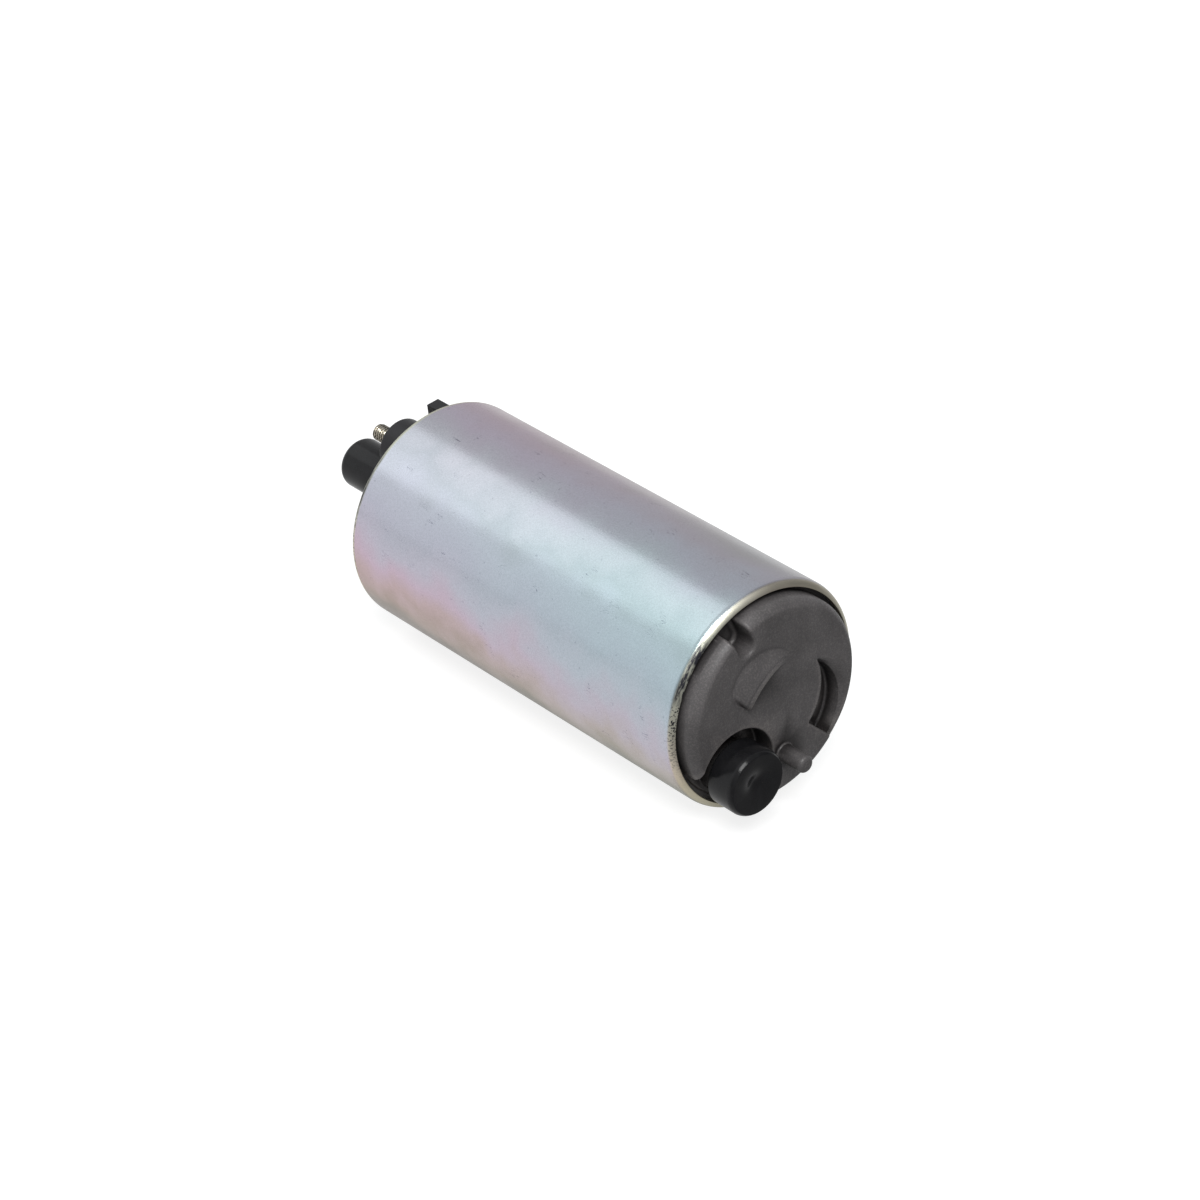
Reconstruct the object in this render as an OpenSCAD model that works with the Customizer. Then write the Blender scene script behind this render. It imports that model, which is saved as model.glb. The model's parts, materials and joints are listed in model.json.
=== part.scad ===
// Electric fuel pump for a car's fuel tank, driven by a turbine at its inlet end.
// The axis of the case is X: the inlet faces +X, the outlet -X, and +Z is up.
// The origin is on that axis, halfway between the two rims of the case.
// Modules draw inside on_axis(), where local x is +Y, local y is +Z and local z is +X.
// Angles about the axis are counted from +Y towards +Z.

/* [Case] */
// Outside diameter of the steel case
case_d = 52; // [51:0.5:54]
// Length of the case over its two rims
case_len = 105.5; // [105:0.5:112]
// Wall of the case between its ends
case_wall = 1.6; // [1.4:0.1:1.7]
// Wall left where the ends are bored out to take the covers
seat_wall = 1.0; // [0.8:0.1:1.1]
// Distance that each rolled rim reaches in from the outside
rim_reach = 1.55; // [1.45:0.05:1.7]
// Length of the rolled rim at the inlet end
inlet_rim_len = 2.4; // [2.3:0.1:2.8]
// Outside rounding of the rim at the inlet end
inlet_rim_round = 2.3; // [1.6:0.1:2.3]
// Length of the rolled rim at the outlet end
outlet_rim_len = 2.0; // [1.6:0.1:2.4]
// Outside rounding of the rim at the outlet end
outlet_rim_round = 1.2; // [0.8:0.1:1.4]

/* [Inlet cover] */
// Height of the cover's face above the case's rim
cover_rise = 3.6; // [3:0.1:4.2]
// Gap between the cover's side and the rim
cover_gap = 1.15; // [0.9:0.05:1.4]
// Rounding of the cover's side, which ends in a crease round the face
cover_edge_round = 3.0; // [2.4:0.1:3.4]
// Distance of that crease from the cover's side
cover_edge_in = 1.1; // [0.8:0.1:1.4]
// Thickness of the flange that the rim holds
cover_flange = 3.0; // [2.6:0.1:3.4]
// Length of the part of the cover that enters the case
cover_spigot = 3.0; // [2.8:0.1:3.6]
// Diameter of the vapour vent drilled through the cover
vent_d = 1.2; // [0.8:0.1:1.6]

/* [Inlet stub] */
// Angle of the inlet about the axis
inlet_angle = -129.4; // [-130:0.2:-128.8]
// Distance from the rim in to the middle of the inlet
inlet_in = 8.15; // [7.9:0.05:8.4]
// Outside diameter of the inlet stub
stub_d = 11.8; // [11.2:0.1:12]
// Bore of the inlet stub
stub_bore_d = 8.4; // [7.8:0.1:8.8]
// Length of the inlet stub above the floor of its pocket
stub_len = 9.3; // [8.5:0.1:9.8]
// Diameter of the round pocket about the inlet stub
pocket_d = 20; // [19.4:0.1:20.4]
// Depth of that pocket below the cover's face
pocket_depth = 5.5; // [5:0.1:5.7]
// Diameter of the port between the stub and the flow channel
port_d = 5.0; // [4.4:0.1:5.2]

/* [Cover face] */
// Radius about the axis of the crescent pocket's inner side
crescent_in_r = 13.1; // [12.6:0.1:13.4]
// Wall left outside the crescent pocket at its bottom
crescent_wall = 1.35; // [1.3:0.05:1.6]
// Radius of the crescent pocket's outer side
crescent_out_r = 12.6; // [12.2:0.1:12.7]
// Depth of the crescent pocket
crescent_depth = 5.0; // [4:0.1:5.4]
// Depth at which the crescent pocket's sloped edge ends
crescent_edge_depth = 1.3; // [0.8:0.1:1.6]
// Width of the crescent pocket's sloped edge
crescent_edge_w = 1.2; // [0.8:0.1:1.5]
// Angle at which the crescent pocket is cut off
crescent_from = -42; // [-46:1:-36]
// Angle of the notch in the cover's edge
notch_angle = 117; // [112:1:120]
// Width of the notch
notch_w = 4.4; // [4:0.1:5]
// Radius at which the notch ends
notch_in_r = 16.8; // [16.4:0.1:17.6]
// Radius of the crest of the raised arc
arc_crest_r = 10.1; // [9.6:0.1:10.4]
// Angle of the raised arc's outer slope, before its tilt
arc_slope = 43; // [41:1:48]
// Greatest height of the raised arc above the face
arc_rise = 2.2; // [1.8:0.1:2.4]
// Angle at which the raised arc is highest
arc_middle = 134; // [128:1:138]
// Tilt that lets the raised arc run out into the face
arc_tilt = 18; // [16:1:20]
// Angle at which the raised arc is cut off
arc_to = 161; // [154:1:164]
// Diameter of the peg that holds the strainer
peg_d = 4.0; // [3.6:0.1:4.2]
// Height of the strainer peg above the face
peg_len = 7.0; // [6:0.1:8]
// Place of the strainer peg along Y
peg_y = 2.7; // [2.5:0.1:3.2]
// Place of the strainer peg along Z
peg_z = -13.0; // [-13.4:0.1:-12.6]

/* [Turbine] */
// Diameter of the impeller
impeller_d = 38; // [37.4:0.1:38.4]
// Thickness of the impeller
impeller_t = 3.8; // [3.6:0.1:4.2]
// Number of vanes on each face of the impeller
vane_count = 41; // [31:2:43]
// Thickness of a vane
vane_t = 1.0; // [0.8:0.1:1.2]
// Diameter at which the vanes begin
vane_root_d = 28.8; // [28.4:0.1:29.6]
// Depth of the vane pockets at the impeller's rim
vane_depth = 1.65; // [1.4:0.05:1.7]
// Depth of the flow channels in the cover and the casing
channel_depth = 2.3; // [2:0.1:2.4]
// Angle that the flow channels run through
channel_sweep = 300; // [290:1:306]
// Thickness of the pump casing behind the impeller
casing_web = 4.0; // [3.8:0.1:4.6]
// Length of the pump casing's skirt
casing_skirt = 5.8; // [5.4:0.1:6.6]
// Wall of the pump casing's skirt
skirt_wall = 2.5; // [2:0.1:2.8]
// Length of the pump casing's hub behind its web
casing_hub = 3.0; // [2.6:0.1:3.4]

/* [Motor] */
// Diameter of the shaft
shaft_d = 5; // [4.8:0.1:5.2]
// Depth of the drive flat on the shaft
shaft_flat = 0.6; // [0.4:0.1:0.8]
// Outside diameter of the two bushes
bush_d = 10; // [9.8:0.1:10.2]
// Length of the outlet-end bush
bush_len = 7; // [6:0.1:7.4]
// Wall of the hubs that hold the bushes
hub_wall = 2.6; // [2.2:0.1:3]
// Diameter of the armature's laminated core
core_d = 34; // [33:0.2:35]
// Length of the laminated core
core_len = 38; // [36:0.5:39]
// Number of slots in the core and of bars on the commutator
slot_count = 8; // [7:1:10]
// Width of a tooth of the core
tooth_w = 4.4; // [4:0.1:4.6]
// Width of the mouth of a slot
slot_mouth = 2.0; // [1.6:0.1:2.4]
// Thickness of the teeth's outer shoes
shoe_t = 1.8; // [1.5:0.1:2]
// Height of the end turns of the windings
end_turn = 3.6; // [3:0.1:4]
// Air gap between the core and the magnets
air_gap = 0.7; // [0.5:0.1:0.9]
// Length of the magnets
magnet_len = 44; // [43:0.5:46]
// Angle that each magnet covers
magnet_sweep = 140; // [132:1:144]
// Diameter of the commutator's bars
commutator_d = 17; // [16.4:0.2:17.4]
// Length of the commutator's bars
commutator_len = 13; // [12.6:0.1:13.6]
// Gap between two bars of the commutator
bar_gap = 0.6; // [0.5:0.1:0.8]
// Diameter over the commutator's risers
riser_d = 20; // [19.4:0.1:20.4]
// Width of a brush along the axis
brush_w = 7; // [6.4:0.1:7.4]
// Thickness of a brush around the axis
brush_t = 5.5; // [5:0.1:6]
// Length of a new brush
brush_len = 9; // [8:0.1:9.6]
// Distance that a brush can be pushed back
brush_travel = 2; // [1.5:0.1:2.4]
// Thickness of the brush holder's plate
holder_t = 2.4; // [2:0.1:2.8]
// Wall of the brush boxes
box_wall = 1.2; // [1:0.1:1.4]
// Diameter of the choke cores
choke_d = 3.8; // [3.4:0.1:4]
// Distance of the chokes from the axis
choke_offset = 15.5; // [15:0.1:16]

/* [End cover] */
// Height of the end cover's face above the case's rim
end_rise = 1.0; // [0.6:0.1:1.6]
// Gap between the end cover's side and the rim
end_cover_gap = 0.75; // [0.55:0.05:1.15]
// Thickness of the flange that the rim holds
end_flange = 3.2; // [3:0.1:3.6]
// Diameter of the check valve's housing
valve_housing_d = 14; // [13.6:0.1:14.4]
// Height of the check valve's housing above the rim
valve_housing_h = 14; // [13.5:0.1:15]
// Outside diameter of the outlet nozzle
nozzle_d = 8; // [7.6:0.1:8.2]
// Bore of the outlet nozzle
nozzle_bore_d = 5.6; // [5:0.1:5.8]
// Height of the outlet nozzle above the rim
nozzle_h = 27.8; // [27:0.1:28.2]
// Height of each barb over the outlet nozzle
barb_h = 0.3; // [0.2:0.05:0.35]
// Diameter of the terminal bosses
boss_d = 12.5; // [12:0.1:12.6]
// Height of the terminal bosses above the rim
boss_h = 10.2; // [9.5:0.1:11]
// Distance of the terminals from the axis
terminal_offset = 14; // [13.8:0.1:14.6]
// Angle of the positive terminal
terminal_angle = 103.6; // [100:0.2:106]
// Thread diameter of the positive terminal
positive_d = 4; // [4:1:5]
// Thread diameter of the negative terminal
negative_d = 5; // [4:1:5]
// Bare length of the terminal studs
stud_len = 8; // [7:0.5:10]
// Width of the locating lug
lug_w = 3.2; // [2.8:0.1:3.6]
// Depth of the locating lug towards the axis
lug_depth = 4.6; // [4:0.1:5.4]
// Height of the locating lug above the rim
lug_h = 9.0; // [8:0.1:10]
// Diameter of the relief valve's ball
relief_ball_d = 4.8; // [4.6:0.1:5]

/* [Caps] */
// Wall of the transit caps
cap_wall = 1.6; // [1.4:0.1:1.8]
// Rounding of a cap's barrel, which ends in a crease round its dished end
cap_round = 2.0; // [1.4:0.1:2.4]
// Distance of that crease from a cap's barrel
cap_edge_in = 0.65; // [0.5:0.05:0.8]
// Thickness of a cap's closed end
cap_end = 2.1; // [1.9:0.1:2.4]
// Depth of the dish in a cap's end
cap_dish = 0.6; // [0.4:0.1:0.8]
// Depth of the dimple in the middle of the dish
cap_dimple = 0.6; // [0.4:0.1:0.7]
// Depth at which the inlet cap begins, below the cover's face
inlet_cap_from = 1.2; // [0.8:0.1:3]
// Height at which the outlet cap begins, above the rim
outlet_cap_from = 16; // [15.5:0.5:19]

/* [Fits] */
// Clearance of the end parts and magnets in the case
case_fit = 0.06; // [0.05:0.01:0.1]
// Running clearance of the shaft in its bushes
run_fit = 0.03; // [0.02:0.01:0.05]
// Clearance of pushed-in and moulded-in pieces
push_fit = 0.03; // [0.02:0.01:0.05]
// Clearance of brushes and valve parts in their guides
guide_fit = 0.1; // [0.06:0.01:0.15]
// Small gap where two pieces end face to face
face_gap = 0.1; // [0.05:0.01:0.15]

/* [Hidden] */
$fn = 96;

// Radii
case_r = case_d / 2;
bore_r = case_r - case_wall;
seat_r = case_r - seat_wall;
rim_r = case_r - rim_reach;
cover_r = rim_r - cover_gap;
end_cover_r = rim_r - end_cover_gap;
flange_r = seat_r - case_fit;
spigot_r = bore_r - case_fit;
shaft_r = shaft_d / 2;
bush_r = bush_d / 2;
hub_r = bush_r + hub_wall;
skirt_in_r = spigot_r - skirt_wall;
core_r = core_d / 2;
magnet_in_r = core_r + air_gap;

// Places along the axis, from the inlet end inwards
rim_z = case_len / 2;
face_z = rim_z + cover_rise;
shoulder_z = rim_z - inlet_rim_len;
cover_seat_z = shoulder_z - cover_flange;
cover_inner_z = cover_seat_z - cover_spigot;
pocket_z = face_z - pocket_depth;
stub_z = pocket_z + stub_len;
impeller_gap = face_gap;
cavity_z = cover_inner_z - impeller_t - 2 * impeller_gap;
casing_back_z = cavity_z - casing_web;
casing_hub_z = casing_back_z - casing_hub;
casing_skirt_z = casing_back_z - casing_skirt;
magnet_hi_z = casing_skirt_z - face_gap;
magnet_lo_z = magnet_hi_z - magnet_len;
core_hi_z = magnet_hi_z - (magnet_len - core_len) / 2;
core_lo_z = core_hi_z - core_len;
commutator_space = 1.4;
commutator_hi_z = core_lo_z - end_turn - commutator_space;
commutator_lo_z = commutator_hi_z - commutator_len;
riser_len = 1.8;
brush_z = (commutator_hi_z - riser_len + commutator_lo_z) / 2;
box_half_w = brush_w / 2 + guide_fit + box_wall;
box_half_t = brush_t / 2 + guide_fit + box_wall;
holder_hi_z = brush_z - box_half_w;
holder_lo_z = holder_hi_z - holder_t;

// Places along the axis, from the outlet end inwards
end_face_z = -rim_z - end_rise;
end_shoulder_z = -rim_z + outlet_rim_len;
end_seat_z = end_shoulder_z + end_flange;
end_skirt_z = holder_lo_z - face_gap;
bush_space = 3;
end_bush_hi_z = holder_lo_z - bush_space;
end_bush_lo_z = end_bush_hi_z - bush_len;
shaft_lo_z = end_bush_lo_z - 0.8;
washer_t = 1.6;
washer_z = end_bush_hi_z + 3 * face_gap;

// Armature
slot_bottom_r = 7.4;

// Brushes
brush_in_r = commutator_d / 2 + face_gap / 2;
brush_out_r = brush_in_r + brush_len;
holder_rim_wall = 1.4;
holder_rim_r = spigot_r - holder_rim_wall;

// Turbine
cavity_r = impeller_d / 2 + 0.15;
channel_r = (vane_root_d + impeller_d) / 4;
channel_section_r = channel_depth;
channel_from = inlet_angle;
port_inset = 8;
pad_r = 2.9;
pad_t = 1.7;
shaft_hi_z = cover_inner_z + 1.2;
pad_z = shaft_hi_z + face_gap;

// Seal rings: the groove is as deep as the ring, which fills it to the case's bore
ring_r = 0.75;
groove_w = 2 * ring_r + 0.3;
groove_r = spigot_r - 2 * ring_r;
ring_seat_r = groove_r + ring_r + 0.01;
cover_groove_z = (cover_inner_z + cover_seat_z) / 2;
end_spigot = 4;
end_groove_z = end_seat_z + end_spigot / 2;

// Check valve, in the bore of the end cover's hub and valve housing
valve_r = bush_r + push_fit;
window_r = 1.8;
window_z = end_bush_lo_z - 1 - window_r;
seat_hi_z = window_z - window_r - 0.8;
seat_t = 3;
seat_lo_z = seat_hi_z - seat_t;
seat_hole_r = 2.3;
poppet_nose_r = 3;
poppet_z = seat_lo_z - sqrt(pow(poppet_nose_r, 2) - pow(seat_hole_r, 2)) - face_gap;
poppet_disc_t = 1.8;
poppet_stem_r = 1.3;
poppet_stem_len = 3.4;
poppet_back_z = poppet_z - poppet_disc_t;
valve_end_wall = 1.5;
valve_lo_z = -rim_z - valve_housing_h + valve_end_wall;
nozzle_z = -rim_z - nozzle_h;

// Relief valve, in its own bore through the end cover
relief_angle = -10;
relief_offset = 14;
relief_r = relief_ball_d / 2;
relief_bore_r = relief_r + guide_fit + 0.6;
relief_hole_r = 1.3;
relief_seat_z = end_seat_z + 2.5;
relief_boss_z = end_seat_z + 4.5;
relief_ball_z = relief_seat_z - sqrt(pow(relief_r, 2) - pow(relief_hole_r, 2)) - face_gap / 2;
relief_wire_r = 0.3;
relief_coil_r = 1.9;
relief_spring_z = relief_ball_z - sqrt(pow(relief_r, 2) - pow(relief_coil_r, 2)) - 2 * relief_wire_r;
plug_t = 1.4;
plug_z = end_face_z + 0.1;

// Terminals: a shank wider than the thread fills the boss and stands a little proud of it
terminal_head_r = 4;
terminal_head_t = 2;
shank_wider = 0.5;
shank_proud = 0.3;
boss_z = -rim_z - boss_h;
stud_z = boss_z - stud_len;

// Cover face: where the inlet, the crescent pocket's outer side and the raised arc have their middles
inlet_place = (rim_r - inlet_in) * [cos(inlet_angle), sin(inlet_angle)];
crescent_angle = -44.1;
crescent_centre = (cover_r - crescent_wall - crescent_out_r) * [cos(crescent_angle), sin(crescent_angle)];
arc_centre = [0.4, 0.7];
vent_angle = -30;

// Locating lug: the middle of its outer edge, set in from the rim, and its own turn
lug_in = 2.05;
lug_angle = 76.8;
lug_place = (rim_r - lug_in) * [cos(lug_angle), sin(lug_angle)];
lug_turn = 7.5;

// Transit caps
outlet_cap_r = nozzle_d / 2 + barb_h + guide_fit / 2;

// Wire of the springs, leads and chokes
brush_wire_r = 0.3;
brush_coil_r = 1.9;
check_wire_r = 0.35;
check_coil_r = 2.5;
lead_r = 0.55;
lead_reach = 13.5;
choke_wire_r = 0.4;
choke_r = choke_d / 2;
choke_coil_r = choke_r + choke_wire_r + 0.2;
choke_hi_z = holder_lo_z - 2.2;
choke_lo_z = end_seat_z + 0.05;
choke_turn_from = 135;
choke_turns = 8;

// Colours
steel_colour = [0.72, 0.74, 0.80];
cast_colour = [0.30, 0.30, 0.31];
black_colour = [0.07, 0.07, 0.08];
rubber_colour = [0.10, 0.10, 0.10];
copper_colour = [0.72, 0.42, 0.25];
bronze_colour = [0.62, 0.47, 0.28];
bright_colour = [0.78, 0.78, 0.80];
magnet_colour = [0.22, 0.22, 0.24];
resin_colour = [0.36, 0.24, 0.14];

// Turns local z onto the pump's axis
module on_axis() {
    rotate([90, 0, 90]) children();
}

// Round bar from z0 to z1 whose side turns in at z1 by radius e; the turn is a full quarter,
// or ends in a crease at inset from the side
module post(r, z0, z1, e = 0, inset = undef) {
    length = abs(z1 - z0);
    reach = inset == undef ? e : inset;
    drop = sqrt(pow(e, 2) - pow(e - reach, 2));
    translate([0, 0, z0]) mirror([0, 0, z1 < z0 ? 1 : 0])
        if (e > 0) {
            rotate_extrude() {
                square([r - e, length]);
                square([r, length - drop]);
                intersection() {
                    translate([r - e, length - drop]) circle(r = e, $fn = 64);
                    square([r, length]);
                }
            }
        } else {
            cylinder(r = r, h = length);
        }
}

// Tube from z0 up to z1
module sleeve(r_out, r_in, z0, z1) {
    difference() {
        post(r_out, z0, z1);
        post(r_in, z0 - 1, z1 + 1);
    }
}

// Part of a tube between two angles
module arc_sleeve(r_out, r_in, z0, z1, from, to) {
    rotate(from) rotate_extrude(angle = to - from)
        translate([r_in, z0]) square([r_out - r_in, z1 - z0]);
}

// Ring of round section
module seal_ring(r, z) {
    translate([0, 0, z]) rotate_extrude() translate([r, 0]) circle(r = ring_r, $fn = 32);
}

// Points of a coil of radius r that climbs from z0 to z1
function helix(r, z0, z1, turns, steps) =
    [for (i = [0 : turns * steps])
        [r * cos(i * 360 / steps), r * sin(i * 360 / steps), z0 + (z1 - z0) * i / (turns * steps)]];

function unit(v) = v / norm(v);

// Wire of radius r along a route; up is any direction that the route never takes
module wire(route, r, up, sides = 6) {
    last = len(route) - 1;
    points = [for (i = [0 : last])
        let (t = unit(route[min(i + 1, last)] - route[max(i - 1, 0)]),
            s = unit(cross(up, t)),
            w = cross(t, s))
        for (k = [0 : sides - 1])
            route[i] + r * cos(k * 360 / sides) * s + r * sin(k * 360 / sides) * w];
    faces = [
        [for (k = [0 : sides - 1]) k],
        [for (k = [sides - 1 : -1 : 0]) last * sides + k],
        for (i = [0 : last - 1], k = [0 : sides - 1])
            [i * sides + k, (i + 1) * sides + k, (i + 1) * sides + (k + 1) % sides],
        for (i = [0 : last - 1], k = [0 : sides - 1])
            [i * sides + k, (i + 1) * sides + (k + 1) % sides, i * sides + (k + 1) % sides]];
    polyhedron(points, faces);
}

// Steel tube with a rolled rim at each end
module case_shell() {
    color(steel_colour) on_axis() difference() {
        post(case_r, -rim_z, rim_z);
        post(bore_r, end_seat_z, cover_seat_z);
        post(seat_r, cover_seat_z - 0.001, shoulder_z);
        post(seat_r, end_shoulder_z, end_seat_z + 0.001);
        post(rim_r, shoulder_z - 0.001, rim_z + 1);
        post(rim_r, -rim_z - 1, end_shoulder_z + 0.001);
        rim_rounding(inlet_rim_round);
        mirror([0, 0, 1]) rim_rounding(outlet_rim_round);
    }
}

// What the rounding of a rim takes away at the upper end
module rim_rounding(e) {
    translate([0, 0, rim_z - e]) rotate_extrude() difference() {
        translate([case_r - e, 0]) square([e + 1, e + 1]);
        translate([case_r - e, 0]) circle(r = e, $fn = 64);
    }
}

// Moves its children onto the inlet's axis
module at_inlet() {
    translate([inlet_place[0], inlet_place[1], 0]) children();
}

// Cast cover with the inlet stub, the strainer peg and the first flow channel
module inlet_cover() {
    color(cast_colour) on_axis() {
        difference() {
            union() {
                post(spigot_r, cover_inner_z, cover_seat_z + 0.5);
                post(flange_r, cover_seat_z, shoulder_z);
                post(cover_r, shoulder_z - 0.5, face_z, cover_edge_round, cover_edge_in);
                raised_arc();
                crescent_lip();
            }
            at_inlet() post(pocket_d / 2, pocket_z, face_z + 5);
            crescent_pocket();
            edge_notch();
            flow_channel(cover_inner_z);
            groove(cover_groove_z);
            post(pad_r + push_fit, cover_inner_z - 1, pad_z + pad_t);
            at_inlet() inlet_passage();
            rotate(vent_angle) translate([channel_r, 0, 0]) post(vent_d / 2, cover_inner_z, face_z);
        }
        at_inlet() inlet_stub();
        translate([peg_y, peg_z, 0]) post(peg_d / 2, face_z - 1, face_z + peg_len, peg_d / 4);
    }
}

// Ridge on a tilted circle, which slopes down to the face outside it and is cut off at one end
module raised_arc() {
    c = 0.5;
    inner = 0.96 * c;
    foot = 5;
    slope_w = 4.2;
    front = 75;
    back = 45;
    end_turn_in = 26;
    top = [inner * sin(arc_slope), inner * cos(arc_slope)];
    low = top[1] - (slope_w - top[0]) * tan(arc_slope);
    difference() {
        translate([arc_centre[0], arc_centre[1], face_z + arc_rise - arc_crest_r * sin(arc_tilt) - c])
            rotate(arc_middle) rotate([0, -arc_tilt, 0])
                rotate(-front) rotate_extrude(angle = front + back) translate([arc_crest_r, 0]) {
                    circle(r = c, $fn = 32);
                    polygon([[-inner, -foot], [-inner, 0], top, [slope_w, low], [slope_w, -foot]]);
                }
        rotate(arc_to) translate([arc_crest_r, 0, face_z - foot]) rotate(-end_turn_in)
            translate([-case_r / 2, 0, -foot]) cube([case_r, case_r / 2, 4 * foot]);
    }
}

// Deep pocket between two circles, beside the middle of the face, with a sloped outer edge
module crescent_pocket() {
    crescent_cut(crescent_depth, 0);
    crescent_cut(crescent_edge_depth, crescent_edge_w);
}

// One cut of that pocket, wider at the face than at its bottom by flare
module crescent_cut(depth, flare) {
    difference() {
        translate([crescent_centre[0], crescent_centre[1], face_z - depth])
            cylinder(r1 = crescent_out_r, r2 = crescent_out_r + 2 * flare, h = 2 * depth);
        post(crescent_in_r, face_z - depth - 1, face_z + depth + 1);
        rotate(crescent_from) translate([-case_r, -2 * case_r, face_z - depth - 1])
            cube([2 * case_r, 2 * case_r, 2 * depth + 2]);
    }
}

// Low bead along the inner side of the crescent pocket
module crescent_lip() {
    w = 1.3;
    h = 0.2;
    sweep = 66;
    r = (pow(w / 2, 2) + pow(h, 2)) / (2 * h);
    rotate(crescent_from) rotate_extrude(angle = sweep)
        translate([crescent_in_r - w / 2, face_z + h - r]) circle(r = r, $fn = 48);
}

// Round-ended notch cut into the cover's edge
module edge_notch() {
    half = notch_w / 2;
    rotate(notch_angle) translate([notch_in_r + half, 0, 0]) {
        post(half, pocket_z, face_z + 5);
        translate([0, -half, pocket_z]) cube([case_r, notch_w, pocket_depth + 5]);
    }
}

// Half-round channel that the fluid follows beside the vanes
module flow_channel(z) {
    rotate(channel_from) rotate_extrude(angle = channel_sweep)
        translate([channel_r, z]) circle(r = channel_section_r, $fn = 48);
}

// Groove for a seal ring
module groove(z) {
    translate([0, 0, z - groove_w / 2]) difference() {
        cylinder(r = case_r, h = groove_w);
        translate([0, 0, -1]) cylinder(r = groove_r, h = groove_w + 2);
    }
}

module inlet_passage() {
    bottom_z = cover_inner_z + channel_depth + 1.6;
    post(port_d / 2, cover_inner_z - 1, bottom_z + 1);
    post(stub_bore_d / 2, bottom_z, stub_z + 1);
}

module inlet_stub() {
    difference() {
        post(stub_d / 2, pocket_z - 0.5, stub_z, 0.5);
        post(stub_bore_d / 2, pocket_z - 2, stub_z + 1);
    }
}

module inlet_cover_seal() {
    color(rubber_colour) on_axis() seal_ring(ring_seat_r, cover_groove_z);
}

module end_cover_seal() {
    color(rubber_colour) on_axis() seal_ring(ring_seat_r, end_groove_z);
}

// Hard pad that takes the end thrust of the shaft
module thrust_pad() {
    color(bright_colour) on_axis() post(pad_r, pad_z + pad_t - face_gap / 2, pad_z, 0.3);
}

// Plate with the impeller's cavity, the second flow channel and the hub for the bush
module pump_casing() {
    color(cast_colour * 1.5) on_axis() difference() {
        union() {
            post(spigot_r, casing_back_z, cover_inner_z);
            sleeve(spigot_r, skirt_in_r, casing_skirt_z, casing_back_z + 0.5);
            post(hub_r, casing_back_z + 0.5, casing_hub_z, 0.5);
        }
        post(cavity_r, cavity_z, cover_inner_z + 1);
        flow_channel(cavity_z);
        post(bush_r + push_fit, casing_hub_z - 1, cavity_z + 1);
        rotate(channel_from + channel_sweep - port_inset) translate([channel_r, 0, 0])
            post(port_d / 2 - 0.3, casing_back_z - 1, cavity_z + 1);
    }
}

// Plain bush from z0 to z1
module bush(z0, z1) {
    color(bronze_colour) on_axis() sleeve(bush_r, shaft_r + run_fit, z0, z1);
}

module pump_bush() {
    bush(casing_hub_z, cavity_z);
}

module end_bush() {
    bush(end_bush_lo_z, end_bush_hi_z);
}

// Disc with slanted vane pockets on both faces, driven by a flat in its bore
module impeller() {
    middle_z = (cavity_z + cover_inner_z) / 2;
    hole_count = 6;
    color(resin_colour) on_axis() translate([0, 0, middle_z]) difference() {
        translate([0, 0, -impeller_t / 2]) cylinder(r = impeller_d / 2, h = impeller_t);
        vane_pockets();
        rotate(180 / vane_count) mirror([0, 0, 1]) vane_pockets();
        translate([0, 0, -impeller_t]) linear_extrude(2 * impeller_t) drive_section(push_fit);
        for (i = [0 : hole_count - 1])
            rotate(i * 360 / hole_count) translate([impeller_d / 4, 0, -impeller_t])
                cylinder(r = 1.2, h = 2 * impeller_t);
    }
}

// Pockets of the upper face, between the vanes
module vane_pockets() {
    root_r = vane_root_d / 2;
    reach = impeller_d / 2 - root_r;
    slope = atan(vane_depth / reach);
    width = 2 * PI * channel_r / vane_count - vane_t;
    for (i = [0 : vane_count - 1])
        rotate(i * 360 / vane_count) translate([root_r, -width / 2, impeller_t / 2])
            rotate([0, slope, 0]) translate([-1, 0, 0]) cube([2 * reach, width, 2 * impeller_t]);
}

// Round section with a flat, larger than the shaft by gap
module drive_section(gap) {
    intersection() {
        circle(r = shaft_r + gap);
        translate([-shaft_d, -shaft_d]) square([shaft_d + shaft_r - shaft_flat + gap, 2 * shaft_d]);
    }
}

module shaft() {
    color(bright_colour) on_axis() {
        post(shaft_r, shaft_lo_z, cavity_z);
        translate([0, 0, cavity_z]) linear_extrude(shaft_hi_z - cavity_z) drive_section(0);
    }
}

// Section of the slots that the windings fill, drawn in by gap
module slot_section(gap) {
    difference() {
        circle(r = core_r - shoe_t - gap);
        circle(r = slot_bottom_r + gap);
        for (i = [0 : slot_count - 1])
            rotate(i * 360 / slot_count) translate([0, -tooth_w / 2 - gap])
                square([core_r, tooth_w + 2 * gap]);
    }
}

// Stack of slotted laminations, drawn as one block
module armature_core() {
    color(steel_colour * 0.8) on_axis() translate([0, 0, core_lo_z]) linear_extrude(core_len)
        difference() {
            circle(r = core_r);
            slot_section(0);
            for (i = [0 : slot_count - 1])
                rotate((i + 0.5) * 360 / slot_count) translate([core_r - shoe_t - 1, -slot_mouth / 2])
                    square([shoe_t + 2, slot_mouth]);
            circle(r = shaft_r + push_fit);
        }
}

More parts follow.
